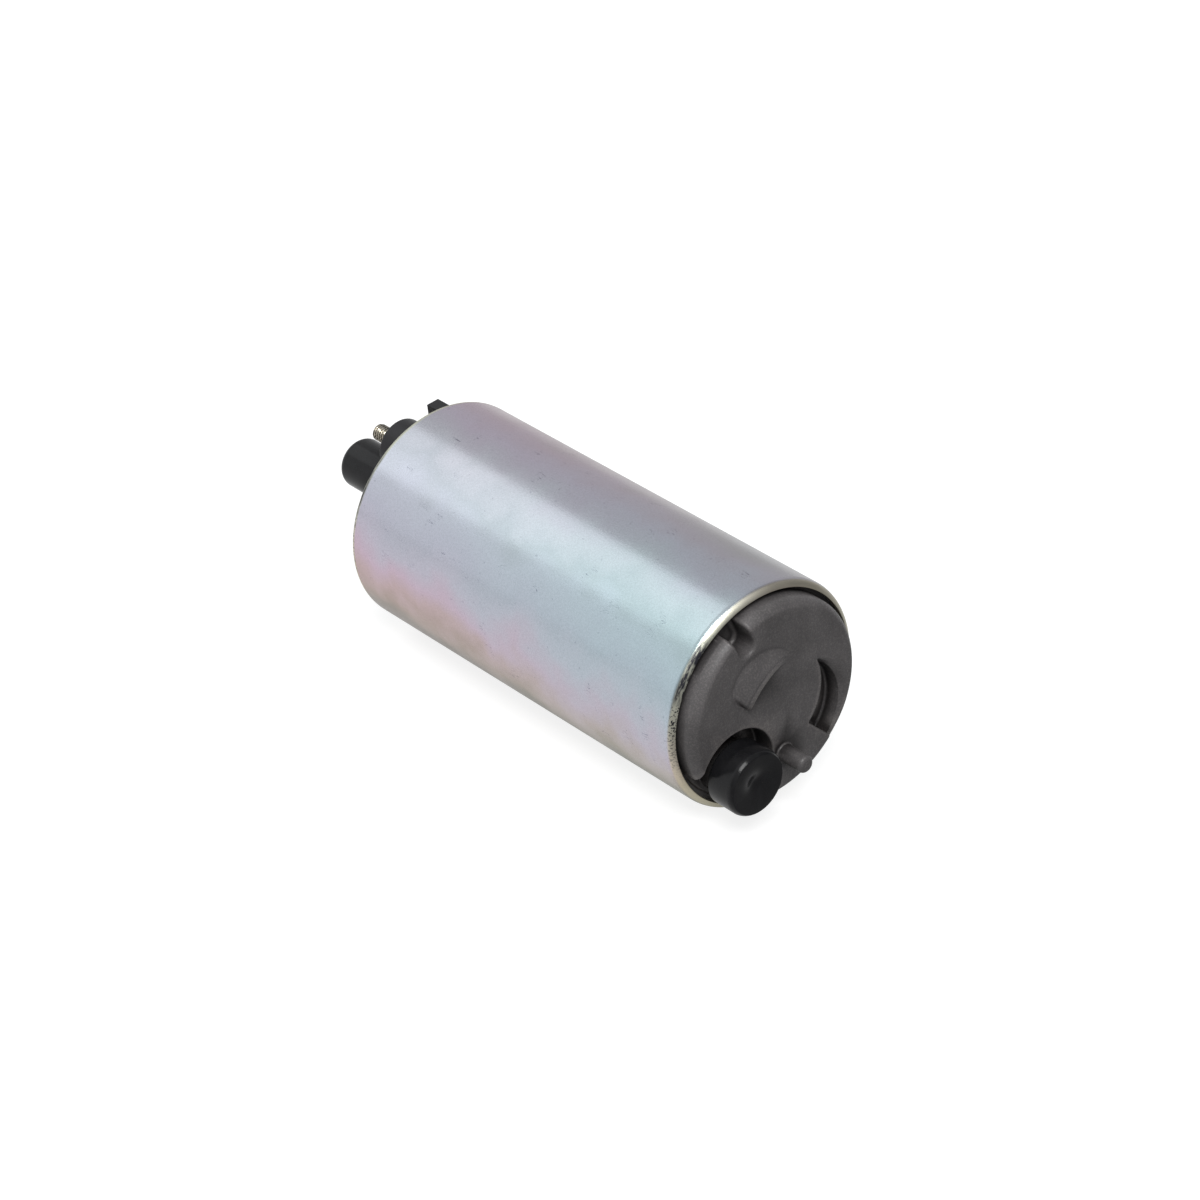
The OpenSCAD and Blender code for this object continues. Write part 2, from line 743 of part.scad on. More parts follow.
// Copper in the slots, joined by rounded end turns, with a lead to each commutator bar
module armature_windings() {
    gap = 0.25;
    out_r = core_r - shoe_t - gap;
    in_r = slot_bottom_r + gap;
    color(copper_colour) on_axis() {
        translate([0, 0, core_lo_z - end_turn / 2]) linear_extrude(core_len + end_turn)
            slot_section(gap);
        end_turns(in_r, out_r, core_hi_z + gap, core_hi_z + end_turn);
        end_turns(in_r, out_r, core_lo_z - end_turn, core_lo_z - gap);
        for (i = [0 : slot_count - 1])
            rotate((i + 0.5) * 360 / slot_count) translate([riser_d / 2 - 1, 0, 0])
                post(0.45, core_lo_z - end_turn + 1, commutator_hi_z + face_gap / 2);
    }
}

module end_turns(r_in, r_out, z0, z1) {
    e = 1.2;
    rotate_extrude() {
        translate([r_in, z0 + e]) square([r_out - r_in, z1 - z0 - 2 * e]);
        translate([r_in + e, z0]) square([r_out - r_in - 2 * e, z1 - z0]);
        for (r = [r_in + e, r_out - e], z = [z0 + e, z1 - e])
            translate([r, z]) circle(r = e, $fn = 32);
    }
}

// Moulded sleeve that carries the commutator's bars
module commutator_hub() {
    color(resin_colour) on_axis()
        sleeve(commutator_d / 2 - 2, shaft_r + push_fit, washer_z + washer_t, commutator_hi_z);
}

// Copper bars, each with a riser at the windings' end
module commutator_bars() {
    in_r = commutator_d / 2 - 2 + push_fit;
    color(copper_colour) on_axis() difference() {
        union() {
            sleeve(commutator_d / 2, in_r, commutator_lo_z, commutator_hi_z);
            sleeve(riser_d / 2, in_r, commutator_hi_z - riser_len, commutator_hi_z);
        }
        for (i = [0 : slot_count - 1])
            rotate(i * 360 / slot_count) translate([0, -bar_gap / 2, commutator_lo_z - 1])
                cube([riser_d, bar_gap, commutator_len + 2]);
    }
}

// Washer on the shaft, between the commutator and the bush
module thrust_washer() {
    color(black_colour * 3) on_axis() sleeve(bush_r, shaft_r + push_fit, washer_z, washer_z + washer_t);
}

module magnet(angle) {
    color(magnet_colour) on_axis()
        arc_sleeve(spigot_r, magnet_in_r, magnet_lo_z, magnet_hi_z,
            angle - magnet_sweep / 2, angle + magnet_sweep / 2);
}

module magnet_left() {
    magnet(180);
}

module magnet_right() {
    magnet(0);
}

// Spring-steel clip that presses two magnets apart
module magnet_clip(angle) {
    t = 0.7;
    half = (180 - magnet_sweep) / 2 - 0.3;
    leg = 2.2;
    inset = 6;
    color(bright_colour * 0.9) on_axis() {
        arc_sleeve(spigot_r, spigot_r - t, magnet_lo_z + inset, magnet_hi_z - inset,
            angle - half, angle + half);
        for (from = [angle - half, angle + half - leg])
            arc_sleeve(spigot_r - t / 2, magnet_in_r + 1, magnet_lo_z + inset, magnet_hi_z - inset,
                from, from + leg);
    }
}

module magnet_clip_upper() {
    magnet_clip(90);
}

module magnet_clip_lower() {
    magnet_clip(-90);
}

// Plate with a box for each brush and a rim that spaces the magnets
module brush_holder() {
    box_in_r = commutator_d / 2 + 1;
    plate_hole_r = commutator_d / 2 + 0.8;
    flow_holes = [45, 90, 135, 225, 270, 315];
    color(resin_colour * 0.7) on_axis() difference() {
        union() {
            sleeve(spigot_r, plate_hole_r, holder_lo_z, holder_hi_z);
            sleeve(spigot_r, holder_rim_r, holder_lo_z, magnet_lo_z - face_gap);
            for (a = [0, 180])
                rotate(a) translate([box_in_r, -box_half_t, holder_hi_z - 0.5])
                    cube([holder_rim_r + 0.5 - box_in_r, 2 * box_half_t, 2 * box_half_w + 0.5]);
        }
        for (a = [0, 180]) rotate(a) {
            translate([0, -brush_t / 2 - guide_fit, brush_z - brush_w / 2 - guide_fit])
                cube([holder_rim_r, brush_t + 2 * guide_fit, brush_w + 2 * guide_fit]);
            translate([lead_reach - 1.2, -1, holder_lo_z - 1])
                cube([2.4 + brush_travel, 2, holder_t + box_wall + 2]);
        }
        post(plate_hole_r, holder_lo_z - 1, magnet_lo_z);
        for (a = flow_holes)
            rotate(a) translate([choke_offset, 0, 0]) post(2, holder_lo_z - 1, holder_hi_z + 1);
    }
}

module brush(angle) {
    color(magnet_colour * 0.7) on_axis() rotate(angle) difference() {
        translate([brush_in_r - 1, -brush_t / 2, brush_z - brush_w / 2])
            cube([brush_len + 1, brush_t, brush_w]);
        post(brush_in_r, brush_z - brush_w, brush_z + brush_w);
    }
}

module brush_left() {
    brush(180);
}

module brush_right() {
    brush(0);
}

// Coil between the back of a brush and the holder's rim
module brush_spring(angle) {
    start = brush_out_r + brush_wire_r + face_gap / 2;
    stop = holder_rim_r - brush_wire_r - face_gap / 2;
    color(bright_colour) on_axis() rotate(angle) translate([0, 0, brush_z]) rotate([0, 90, 0])
        wire(helix(brush_coil_r, start, stop, 4, 10), brush_wire_r, [0, 0, 1], 5);
}

module brush_spring_left() {
    brush_spring(180);
}

module brush_spring_right() {
    brush_spring(0);
}

// Braid from a brush to the near end of its choke
module brush_lead(angle) {
    start_z = brush_z - brush_w / 2 - face_gap / 2;
    turn = choke_turn_from - 180;
    mid_z = holder_lo_z - 1.2;
    stop = choke_offset - choke_coil_r - choke_wire_r - lead_r;
    color(copper_colour) on_axis() rotate(angle) wire([
        [lead_reach + 0.4, 0, start_z],
        [lead_reach + 0.4, 0, holder_hi_z],
        [lead_reach + 0.3, -0.5, mid_z + 0.6],
        [lead_reach, -2.6, mid_z],
        [stop * cos(turn) + 1.6, stop * sin(turn) + 2.2, mid_z - 0.6],
        [stop * cos(turn), stop * sin(turn), choke_hi_z - 1.5]], lead_r, [1, 0.2, 0]);
}

module brush_lead_left() {
    brush_lead(180);
}

module brush_lead_right() {
    brush_lead(0);
}

// Ferrite rod of a choke
module choke_core(angle) {
    color(magnet_colour) on_axis() rotate(angle) translate([choke_offset, 0, 0])
        post(choke_r, choke_lo_z, choke_hi_z);
}

module choke_core_left() {
    choke_core(choke_turn_from);
}

module choke_core_right() {
    choke_core(choke_turn_from + 180);
}

// Wire wound about a choke's rod, with its tail laid towards the terminal's head
module choke_coil(angle) {
    low_z = end_seat_z + 1.6;
    tail_turn = terminal_angle - choke_turn_from;
    head = [terminal_offset * cos(tail_turn) - choke_offset, terminal_offset * sin(tail_turn), 0];
    coil = helix(choke_coil_r, choke_hi_z - 1, low_z, choke_turns, 10);
    reach = norm(head) - terminal_head_r - choke_wire_r - face_gap / 2;
    tail = unit(head) * reach;
    color(copper_colour) on_axis() rotate(angle) translate([choke_offset, 0, 0]) {
        wire(coil, choke_wire_r, [0, 0, 1], 6);
        wire([[choke_coil_r, 0, low_z], [choke_coil_r + 0.6, -1.6, low_z - 0.3],
            [tail[0], tail[1], low_z - 0.6]], choke_wire_r, [0, 0, 1], 6);
    }
}

module choke_coil_left() {
    choke_coil(choke_turn_from);
}

module choke_coil_right() {
    choke_coil(choke_turn_from + 180);
}

// Moulding with the outlet nozzle, valve housing, terminal bosses and locating lug
module end_cover() {
    rib_t = 1.6;
    rib_h = 4;
    color(black_colour) on_axis() difference() {
        union() {
            post(flange_r, end_seat_z, end_shoulder_z);
            post(end_cover_r, end_seat_z, end_face_z, 0.8);
            sleeve(spigot_r, skirt_in_r, end_seat_z - 0.5, end_skirt_z);
            post(hub_r, end_seat_z - 0.5, end_bush_hi_z, 0.5);
            post(valve_housing_d / 2, end_face_z + 1, -rim_z - valve_housing_h, 1);
            outlet_nozzle();
            for (side = [0, 180]) rotate(terminal_angle + side) {
                translate([terminal_offset, 0, 0]) post(boss_d / 2, end_face_z + 1, boss_z, 0.5);
                translate([0, -rib_t / 2, end_face_z - rib_h])
                    cube([terminal_offset, rib_t, rib_h + 1]);
            }
            for (side = [90, -90]) rotate(terminal_angle + side)
                translate([0, -rib_t / 2, end_face_z - rib_h / 2])
                    cube([end_cover_r - 2, rib_t, rib_h / 2 + 1]);
            rotate(relief_angle) translate([relief_offset, 0, 0])
                post(relief_bore_r + 1.5, end_seat_z - 0.5, relief_boss_z, 0.4);
            rotate(relief_angle) translate([relief_offset, 0, 0])
                post(relief_bore_r + 1.5, end_face_z + 1, end_face_z - rib_h / 2);
            translate([lug_place[0], lug_place[1], -rim_z - lug_h]) rotate(lug_turn)
                translate([-lug_w / 2, -lug_depth, 0]) cube([lug_w, lug_depth, lug_h]);
        }
        groove(end_groove_z);
        post(valve_r, valve_lo_z, end_bush_hi_z + 1);
        post(nozzle_bore_d / 2, nozzle_z - 1, valve_lo_z + 1);
        for (a = [30, 120, 210, 300])
            rotate(a) translate([0, 0, window_z]) rotate([0, 90, 0])
                cylinder(r = window_r, h = hub_r + 1);
        terminal_hole(terminal_angle, positive_d);
        terminal_hole(terminal_angle + 180, negative_d);
        rotate(relief_angle) translate([relief_offset, 0, 0]) {
            post(relief_bore_r, end_face_z - rib_h, relief_seat_z);
            post(relief_hole_r, relief_seat_z - 1, relief_boss_z + 1);
        }
    }
}

module terminal_hole(angle, d) {
    rotate(angle) translate([terminal_offset, 0, 0])
        post(d / 2 + shank_wider + push_fit, boss_z - 1, end_seat_z + 1);
}

// Tube with two barbs for the hose
module outlet_nozzle() {
    r = nozzle_d / 2;
    barb_len = 2.4;
    post(r, -rim_z - valve_housing_h + 1, nozzle_z, 0.4);
    for (z = [nozzle_z + 1.2, nozzle_z + 5.2])
        translate([0, 0, z]) cylinder(r1 = r, r2 = r + barb_h, h = barb_len);
}

// Threaded stud with its shank in the boss and its head inside the end cover
module terminal_stud(angle, d) {
    color(bright_colour) on_axis() rotate(angle) translate([terminal_offset, 0, 0]) {
        post(d / 2, boss_z, stud_z, 0.4);
        post(d / 2 + shank_wider, end_seat_z + face_gap / 2, boss_z - shank_proud, 0.15);
        post(terminal_head_r, end_seat_z + face_gap / 2, end_seat_z + terminal_head_t, 0.3);
    }
}

module terminal_stud_positive() {
    terminal_stud(terminal_angle, positive_d);
}

module terminal_stud_negative() {
    terminal_stud(terminal_angle + 180, negative_d);
}

module check_valve_seat() {
    color(bronze_colour) on_axis() sleeve(bush_r, seat_hole_r, seat_lo_z, seat_hi_z);
}

// Domed disc with flow notches and a stem inside its spring
module check_valve_poppet() {
    disc_r = valve_r - guide_fit;
    notch_depth = 1.3;
    color(bright_colour) on_axis() {
        difference() {
            union() {
                intersection() {
                    translate([0, 0, poppet_z]) sphere(r = poppet_nose_r);
                    post(poppet_nose_r, poppet_z, poppet_z + poppet_nose_r);
                }
                post(disc_r, poppet_z, poppet_back_z);
            }
            for (i = [0 : 3])
                rotate(i * 90) translate([disc_r - notch_depth, -disc_r / 3, poppet_back_z - 1])
                    cube([disc_r, disc_r * 2 / 3, poppet_disc_t + 2]);
        }
        post(poppet_stem_r, poppet_back_z + 0.5, poppet_back_z - poppet_stem_len, 0.3);
    }
}

module check_valve_spring() {
    start = poppet_back_z - check_wire_r - face_gap / 2;
    stop = valve_lo_z + check_wire_r + face_gap / 2;
    color(bright_colour) on_axis()
        wire(helix(check_coil_r, start, stop, 5, 12), check_wire_r, [0, 0, 1], 5);
}

// Moves its children onto the relief valve's bore
module on_relief() {
    on_axis() rotate(relief_angle) translate([relief_offset, 0, 0]) children();
}

module relief_ball() {
    color(bright_colour) on_relief() translate([0, 0, relief_ball_z]) sphere(r = relief_r, $fn = 48);
}

module relief_spring() {
    stop = plug_z + plug_t + relief_wire_r + face_gap / 2;
    color(bright_colour) on_relief()
        wire(helix(relief_coil_r, relief_spring_z, stop, 3, 10), relief_wire_r, [0, 0, 1], 5);
}

module relief_plug() {
    color(bronze_colour) on_relief()
        sleeve(relief_bore_r - push_fit, relief_hole_r, plug_z, plug_z + plug_t);
}

// Pushed-on cap with a rounded edge and a dished and dimpled end, open at z0 and closed at z1
module cap(inner_r, z0, z1) {
    length = abs(z1 - z0);
    barrel_r = inner_r + cap_wall;
    dish_r = barrel_r - cap_edge_in;
    sphere_r = (pow(dish_r, 2) + pow(cap_dish, 2)) / (2 * cap_dish);
    floor_z = length - cap_dish;
    translate([0, 0, z0]) mirror([0, 0, z1 < z0 ? 1 : 0]) difference() {
        post(barrel_r, 0, length, cap_round, cap_edge_in);
        translate([0, 0, -1]) cylinder(r = inner_r, h = length - cap_end + 1);
        translate([0, 0, floor_z + sphere_r]) sphere(r = sphere_r);
        translate([0, 0, floor_z - cap_dimple])
            cylinder(r1 = 0.4 * dish_r, r2 = 0.4 * dish_r + 4 * cap_dimple, h = 2 * cap_dimple);
    }
}

module inlet_cap() {
    color(black_colour) on_axis() at_inlet()
        cap(stub_d / 2 + guide_fit / 2, face_z - inlet_cap_from, stub_z + face_gap + cap_end);
}

module outlet_cap() {
    color(black_colour) on_axis()
        cap(outlet_cap_r, -rim_z - outlet_cap_from, nozzle_z - face_gap - cap_end);
}

case_shell();
inlet_cover();
inlet_cover_seal();
thrust_pad();
pump_casing();
pump_bush();
impeller();
shaft();
armature_core();
armature_windings();
commutator_hub();
commutator_bars();
thrust_washer();
magnet_left();
magnet_right();
magnet_clip_upper();
magnet_clip_lower();
brush_holder();
brush_left();
brush_right();
brush_spring_left();
brush_spring_right();
brush_lead_left();
brush_lead_right();
choke_core_left();
choke_core_right();
choke_coil_left();
choke_coil_right();
end_bush();
end_cover();
end_cover_seal();
terminal_stud_positive();
terminal_stud_negative();
check_valve_seat();
check_valve_poppet();
check_valve_spring();
relief_ball();
relief_spring();
relief_plug();
inlet_cap();
outlet_cap();
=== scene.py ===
"""Looks of an electric fuel pump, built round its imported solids.

Sizes are millimetres unless a name says otherwise, and a mesh is scaled to metres when it is made.
The pump's axis is X, the inlet faces +X, and +Z is up.
"""

import json
import logging
import math
from collections.abc import Callable
from dataclasses import dataclass, field
from enum import Enum

import bmesh
import bpy
import numpy as np
from mathutils import Matrix, Vector


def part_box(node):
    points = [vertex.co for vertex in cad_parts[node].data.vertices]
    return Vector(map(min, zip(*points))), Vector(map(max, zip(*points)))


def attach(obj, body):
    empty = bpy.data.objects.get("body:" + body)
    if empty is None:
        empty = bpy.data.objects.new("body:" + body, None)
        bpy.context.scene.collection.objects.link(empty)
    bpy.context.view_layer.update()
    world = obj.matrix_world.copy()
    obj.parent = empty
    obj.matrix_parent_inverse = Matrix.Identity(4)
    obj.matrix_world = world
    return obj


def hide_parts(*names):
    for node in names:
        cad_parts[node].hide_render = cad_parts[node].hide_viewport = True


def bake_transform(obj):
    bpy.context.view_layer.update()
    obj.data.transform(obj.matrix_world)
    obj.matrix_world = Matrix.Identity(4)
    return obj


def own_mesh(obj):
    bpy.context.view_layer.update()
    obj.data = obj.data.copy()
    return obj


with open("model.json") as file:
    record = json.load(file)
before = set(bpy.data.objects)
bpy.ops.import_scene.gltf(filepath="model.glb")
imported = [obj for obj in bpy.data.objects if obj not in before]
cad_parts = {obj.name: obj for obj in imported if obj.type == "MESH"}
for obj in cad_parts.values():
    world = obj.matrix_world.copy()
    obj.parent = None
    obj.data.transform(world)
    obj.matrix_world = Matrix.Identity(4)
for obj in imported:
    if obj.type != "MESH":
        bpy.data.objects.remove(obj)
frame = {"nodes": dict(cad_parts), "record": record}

MM = 0.001
TURN = 2 * math.pi
LOG = logging.getLogger("pump")

Triple = tuple[float, float, float]
Colour = Triple
Socket = bpy.types.NodeSocket
Grid = tuple[np.ndarray, np.ndarray]  # points, and the corner numbers of their faces
Field = Callable[[np.ndarray, np.ndarray, np.ndarray], np.ndarray]

# Sizes shared by several pieces
CASE_R = 26.0
RIM_X = 52.75
FACE_X = 56.35
INLET = np.array([-10.35, -12.6])  # Y and Z of the inlet stub
PEG = np.array([2.7, -13.0])  # Y and Z of the strainer peg
TERMINAL_ANGLE = math.radians(103.6)
TERMINAL_OFFSET = 14.0

# How far off a cast surface its hollows and its edges are felt
HOLLOW_REACH = 2.4
EDGE_REACH = 0.9


class Body(Enum):
    """The moving bodies that pieces ride on."""

    PUMP = "pump"
    ROTOR = "rotor"
    BRUSH_LEFT = "brush_left"
    BRUSH_RIGHT = "brush_right"
    POPPET = "check_poppet"
    BALL = "relief_ball"
    INLET_CAP = "inlet_cap"
    OUTLET_CAP = "outlet_cap"


# ---- shapes


def round_max(a: np.ndarray, b: np.ndarray, r: float) -> np.ndarray:
    """Intersection of two distance fields, its edge rounded to radius r.

    The corner between the two surfaces is a circle of radius r that touches both.

    Args:
        a: First distance.
        b: Second distance.
        r: Radius of the rounding.

    Returns:
        The distance to what both hold.
    """
    return (np.minimum(np.maximum(a + r, b + r), 0)
            + np.hypot(np.maximum(a + r, 0), np.maximum(b + r, 0)) - r)


def round_min(a: np.ndarray, b: np.ndarray, r: float) -> np.ndarray:
    """Union of two distance fields with a fillet of radius r between them."""
    return -round_max(-a, -b, r)


def cut(a: np.ndarray, b: np.ndarray, r: float) -> np.ndarray:
    """Field a without field b, its new edges rounded to radius r."""
    return round_max(a, -b, r)


def rod(y: np.ndarray, z: np.ndarray, centre: np.ndarray, r: float) -> np.ndarray:
    """Distance to a round bar of radius r along X through centre."""
    return np.hypot(y - centre[0], z - centre[1]) - r


def turned(y: np.ndarray, z: np.ndarray, angle: float) -> tuple[np.ndarray, np.ndarray]:
    """Coordinates along and across the direction at angle, about the axis."""
    c, s = math.cos(angle), math.sin(angle)
    return y * c + z * s, z * c - y * s


def at_angle(angle: float, radius: float) -> np.ndarray:
    """Point in the YZ plane at an angle and radius about the axis."""
    return radius * np.array([math.cos(angle), math.sin(angle)])


def grid_faces(rows: int, columns: int, close_rows: bool, close_columns: bool) -> np.ndarray:
    """Four corners of each face of a grid of points numbered row by row.

    Args:
        rows: Number of rows of points.
        columns: Number of points in a row.
        close_rows: Whether the last row joins the first.
        close_columns: Whether the last point of a row joins its first.

    Returns:
        Array of corner numbers, one face to a line.
    """
    i = np.arange(rows if close_rows else rows - 1)[:, None]
    j = np.arange(columns if close_columns else columns - 1)[None, :]
    i2, j2 = (i + 1) % rows, (j + 1) % columns
    corners = [i * columns + j, i * columns + j2, i2 * columns + j2, i2 * columns + j]
    return np.stack([np.broadcast_to(c, (i.size, j.size)) for c in corners], -1).reshape(-1, 4)


def new_mesh(name: str, points: np.ndarray, faces: np.ndarray) -> bpy.types.Mesh:
    """Mesh of points in millimetres and faces of equal corner count."""
    mesh = bpy.data.meshes.new(name)
    mesh.vertices.add(len(points))
    metres = (np.asarray(points, float) * MM).astype(np.float32)
    mesh.vertices.foreach_set("co", metres.ravel())
    mesh.loops.add(faces.size)
    mesh.loops.foreach_set("vertex_index", faces.astype(np.int32).ravel())
    mesh.polygons.add(len(faces))
    starts = np.arange(0, faces.size, faces.shape[1], dtype=np.int32)
    mesh.polygons.foreach_set("loop_start", starts)
    mesh.update(calc_edges=True)
    return mesh


def new_object(name: str, mesh: bpy.types.Mesh) -> bpy.types.Object:
    """Object at the origin that shows a mesh."""
    piece = bpy.data.objects.new(name, mesh)
    bpy.context.scene.collection.objects.link(piece)
    return piece


def tidy_mesh(mesh: bpy.types.Mesh, sharp_deg: float = 35) -> None:
    """Merges doubled points, turns the faces outwards and shades smooth between sharp edges.

    Args:
        mesh: The mesh to finish.
        sharp_deg: Angle in degrees beyond which an edge is sharp.
    """
    bm = bmesh.new()
    bm.from_mesh(mesh)
    bmesh.ops.remove_doubles(bm, verts=bm.verts, dist=1e-7)
    bmesh.ops.dissolve_degenerate(bm, dist=1e-8, edges=bm.edges)
    bmesh.ops.recalc_face_normals(bm, faces=bm.faces)
    bm.to_mesh(mesh)
    bm.free()
    mesh.polygons.foreach_set("use_smooth", np.ones(len(mesh.polygons), bool))
    mesh.set_sharp_from_angle(angle=math.radians(sharp_deg))
    mesh.update()


def rounded_outline(corners: list[Triple], step_deg: float = 9) -> np.ndarray:
    """Closed outline whose corners are turned into arcs.

    Each arc touches both sides of its corner, so its ends stand back from the corner by the
    radius times the tangent of half the turn.

    Args:
        corners: Place of each corner in two numbers, and the radius of its rounding.
        step_deg: Greatest turn between two points of an arc.

    Returns:
        Points of the outline.
    """
    pts = np.array([c[:2] for c in corners], float)
    out = []
    for k, (_, _, radius) in enumerate(corners):
        p, before, after = pts[k], pts[k - 1], pts[(k + 1) % len(pts)]
        if radius <= 0:
            out.append(p[None])
            continue
        u1, u2 = before - p, after - p
        u1, u2 = u1 / np.linalg.norm(u1), u2 / np.linalg.norm(u2)
        half = math.acos(np.clip(u1 @ u2, -1, 1)) / 2
        middle = (u1 + u2) / np.linalg.norm(u1 + u2)
        centre = p + middle * radius / math.sin(half)
        a1 = p + u1 * radius / math.tan(half) - centre
        a2 = p + u2 * radius / math.tan(half) - centre
        sweep = math.atan2(a1[0] * a2[1] - a1[1] * a2[0], a1 @ a2)
        count = max(3, math.ceil(abs(math.degrees(sweep)) / step_deg) + 1)
        t = np.linspace(0, sweep, count)[:, None]
        side = np.array([-a1[1], a1[0]])
        out.append(centre + np.cos(t) * a1 + np.sin(t) * side)
    return np.concatenate(out)


def revolve(name: str, outline: np.ndarray, centre: np.ndarray = np.zeros(2), columns: int = 96,
            closed: bool = True, sharp_deg: float = 35, shape: Field | None = None
            ) -> bpy.types.Mesh:
    """Surface of revolution about a line along X.

    Point (i, j) is at x = outline x of i, and at angle 2 pi j / columns and distance
    outline r of i from the line, which a shape may change by place and angle.

    Args:
        name: Name of the mesh.
        outline: Pairs of x and distance from the line.
        centre: Y and Z of the line.
        columns: Number of points round the line.
        closed: Whether the outline is a closed loop.
        sharp_deg: Angle beyond which an edge is sharp.
        shape: Gives the distance from the line for x, outline r and angle.

    Returns:
        The mesh.
    """
    a = np.arange(columns)[None] * TURN / columns
    x, r = outline[:, :1], outline[:, 1:]
    r = r if shape is None else shape(x, r, a)
    points = np.stack([np.broadcast_to(x, (len(x), columns)), centre[0] + r * np.cos(a),
                       centre[1] + r * np.sin(a)], -1).reshape(-1, 3)
    mesh = new_mesh(name, points, grid_faces(len(x), columns, closed, True))
    tidy_mesh(mesh, sharp_deg)
    return mesh


def tube_grid(route: np.ndarray, radius: float | np.ndarray, sides: int = 12,
              up: Triple = (1.0, 0.02, 0.03)) -> Grid:
    """Points and faces of a wire carried along a route, with rounded ends.

    Point (i, j) is at route i plus the radius times the cosine of 2 pi j / sides along one normal
    of the route and the sine along the other. Both normals come from a direction that the route
    never takes, and the two ends shrink to a point over a quarter circle.

    Args:
        route: Points along the wire's middle.
        radius: Radius of the wire: one number, one a point, or a grid of points by sides.
        sides: Number of points round the wire.
        up: Direction that the route never takes.

    Returns:
        The points, and the corner numbers of the faces.
    """
    route = np.asarray(route, float)
    r = np.asarray(radius, float)
    r = np.broadcast_to(r[:, None] if r.ndim == 1 else r, (len(route), sides))
    t = np.gradient(route, axis=0)
    t /= np.linalg.norm(t, axis=1, keepdims=True)
    q = np.linspace(math.pi / 2, 0, 5)[:-1, None]
    middle = np.concatenate([route[:1] - np.sin(q) * r[0].mean() * t[0], route,
                             route[-1:] + np.sin(q[::-1]) * r[-1].mean() * t[-1]])
    width = np.concatenate([np.cos(q) * r[0], r, np.cos(q[::-1]) * r[-1]])
    along = np.concatenate([np.repeat(t[:1], 4, 0), t, np.repeat(t[-1:], 4, 0)])
    n1 = np.cross(np.array(up), along)
    n1 /= np.linalg.norm(n1, axis=1, keepdims=True)
    n2 = np.cross(along, n1)
    a = np.arange(sides) * TURN / sides
    ring = n1[:, None] * np.cos(a)[None, :, None] + n2[:, None] * np.sin(a)[None, :, None]
    points = (middle[:, None] + width[:, :, None] * ring).reshape(-1, 3)
    return points, grid_faces(len(middle), sides, False, True)


def joined(name: str, *parts: Grid, sharp_deg: float = 60) -> bpy.types.Mesh:
    """One mesh of several sets of points and faces."""
    first = np.cumsum([0] + [len(points) for points, _ in parts[:-1]])
    mesh = new_mesh(name, np.concatenate([points for points, _ in parts]),
                    np.concatenate([faces + n for n, (_, faces) in zip(first, parts)]))
    tidy_mesh(mesh, sharp_deg)
    return mesh


def coil(start: float, stop: float, radius: float, turns: float, closed: float = 0.6,
         way: int = 1) -> np.ndarray:
    """Route of a coil about the first axis, its end turns laid flat.

    At t turns the point is at angle 2 pi t and distance radius from the axis. Its speed along
    the axis rises evenly from nothing over the first turns, and falls so over the last.

    Args:
        start: Place of its first end along the axis.
        stop: Place of its other end.
        radius: Radius of the wire's middle.
        turns: Number of turns.
        closed: Turns over which the speed rises.
        way: 1 or -1, the hand of the coil.

    Returns:
        Points of the route.
    """
    t = np.linspace(0, turns, math.ceil(turns * 28) + 1)
    speed = np.clip(np.minimum(t, turns - t) / max(closed, 1e-6), 0, 1)
    gone = np.concatenate([[0], np.cumsum(speed[1:] + speed[:-1])])
    a = way * TURN * t
    x = start + (stop - start) * gone / gone[-1]
    return np.stack([x, radius * np.cos(a), radius * np.sin(a)], -1)


def smooth_route(points: list[Triple], steps: int) -> np.ndarray:
    """Smooth curve through points.

    Each stretch is a cubic whose slope at a point is half the way between its neighbours.

    Args:
        points: Points that it passes through.
        steps: Steps between each two of them.

    Returns:
        Points of the curve.
    """
    p = np.asarray(points, float)
    p = np.concatenate([2 * p[:1] - p[1:2], p, 2 * p[-1:] - p[-2:-1]])
    t = np.linspace(0, 1, steps, endpoint=False)[:, None]
    stretches = [(2 * b + (c - a) * t + (2 * a - 5 * b + 4 * c - d) * t ** 2
                  + (3 * b - a - 3 * c + d) * t ** 3) / 2
                 for a, b, c, d in zip(p, p[1:], p[2:], p[3:])]
    return np.concatenate([*stretches, p[-2:-1]])


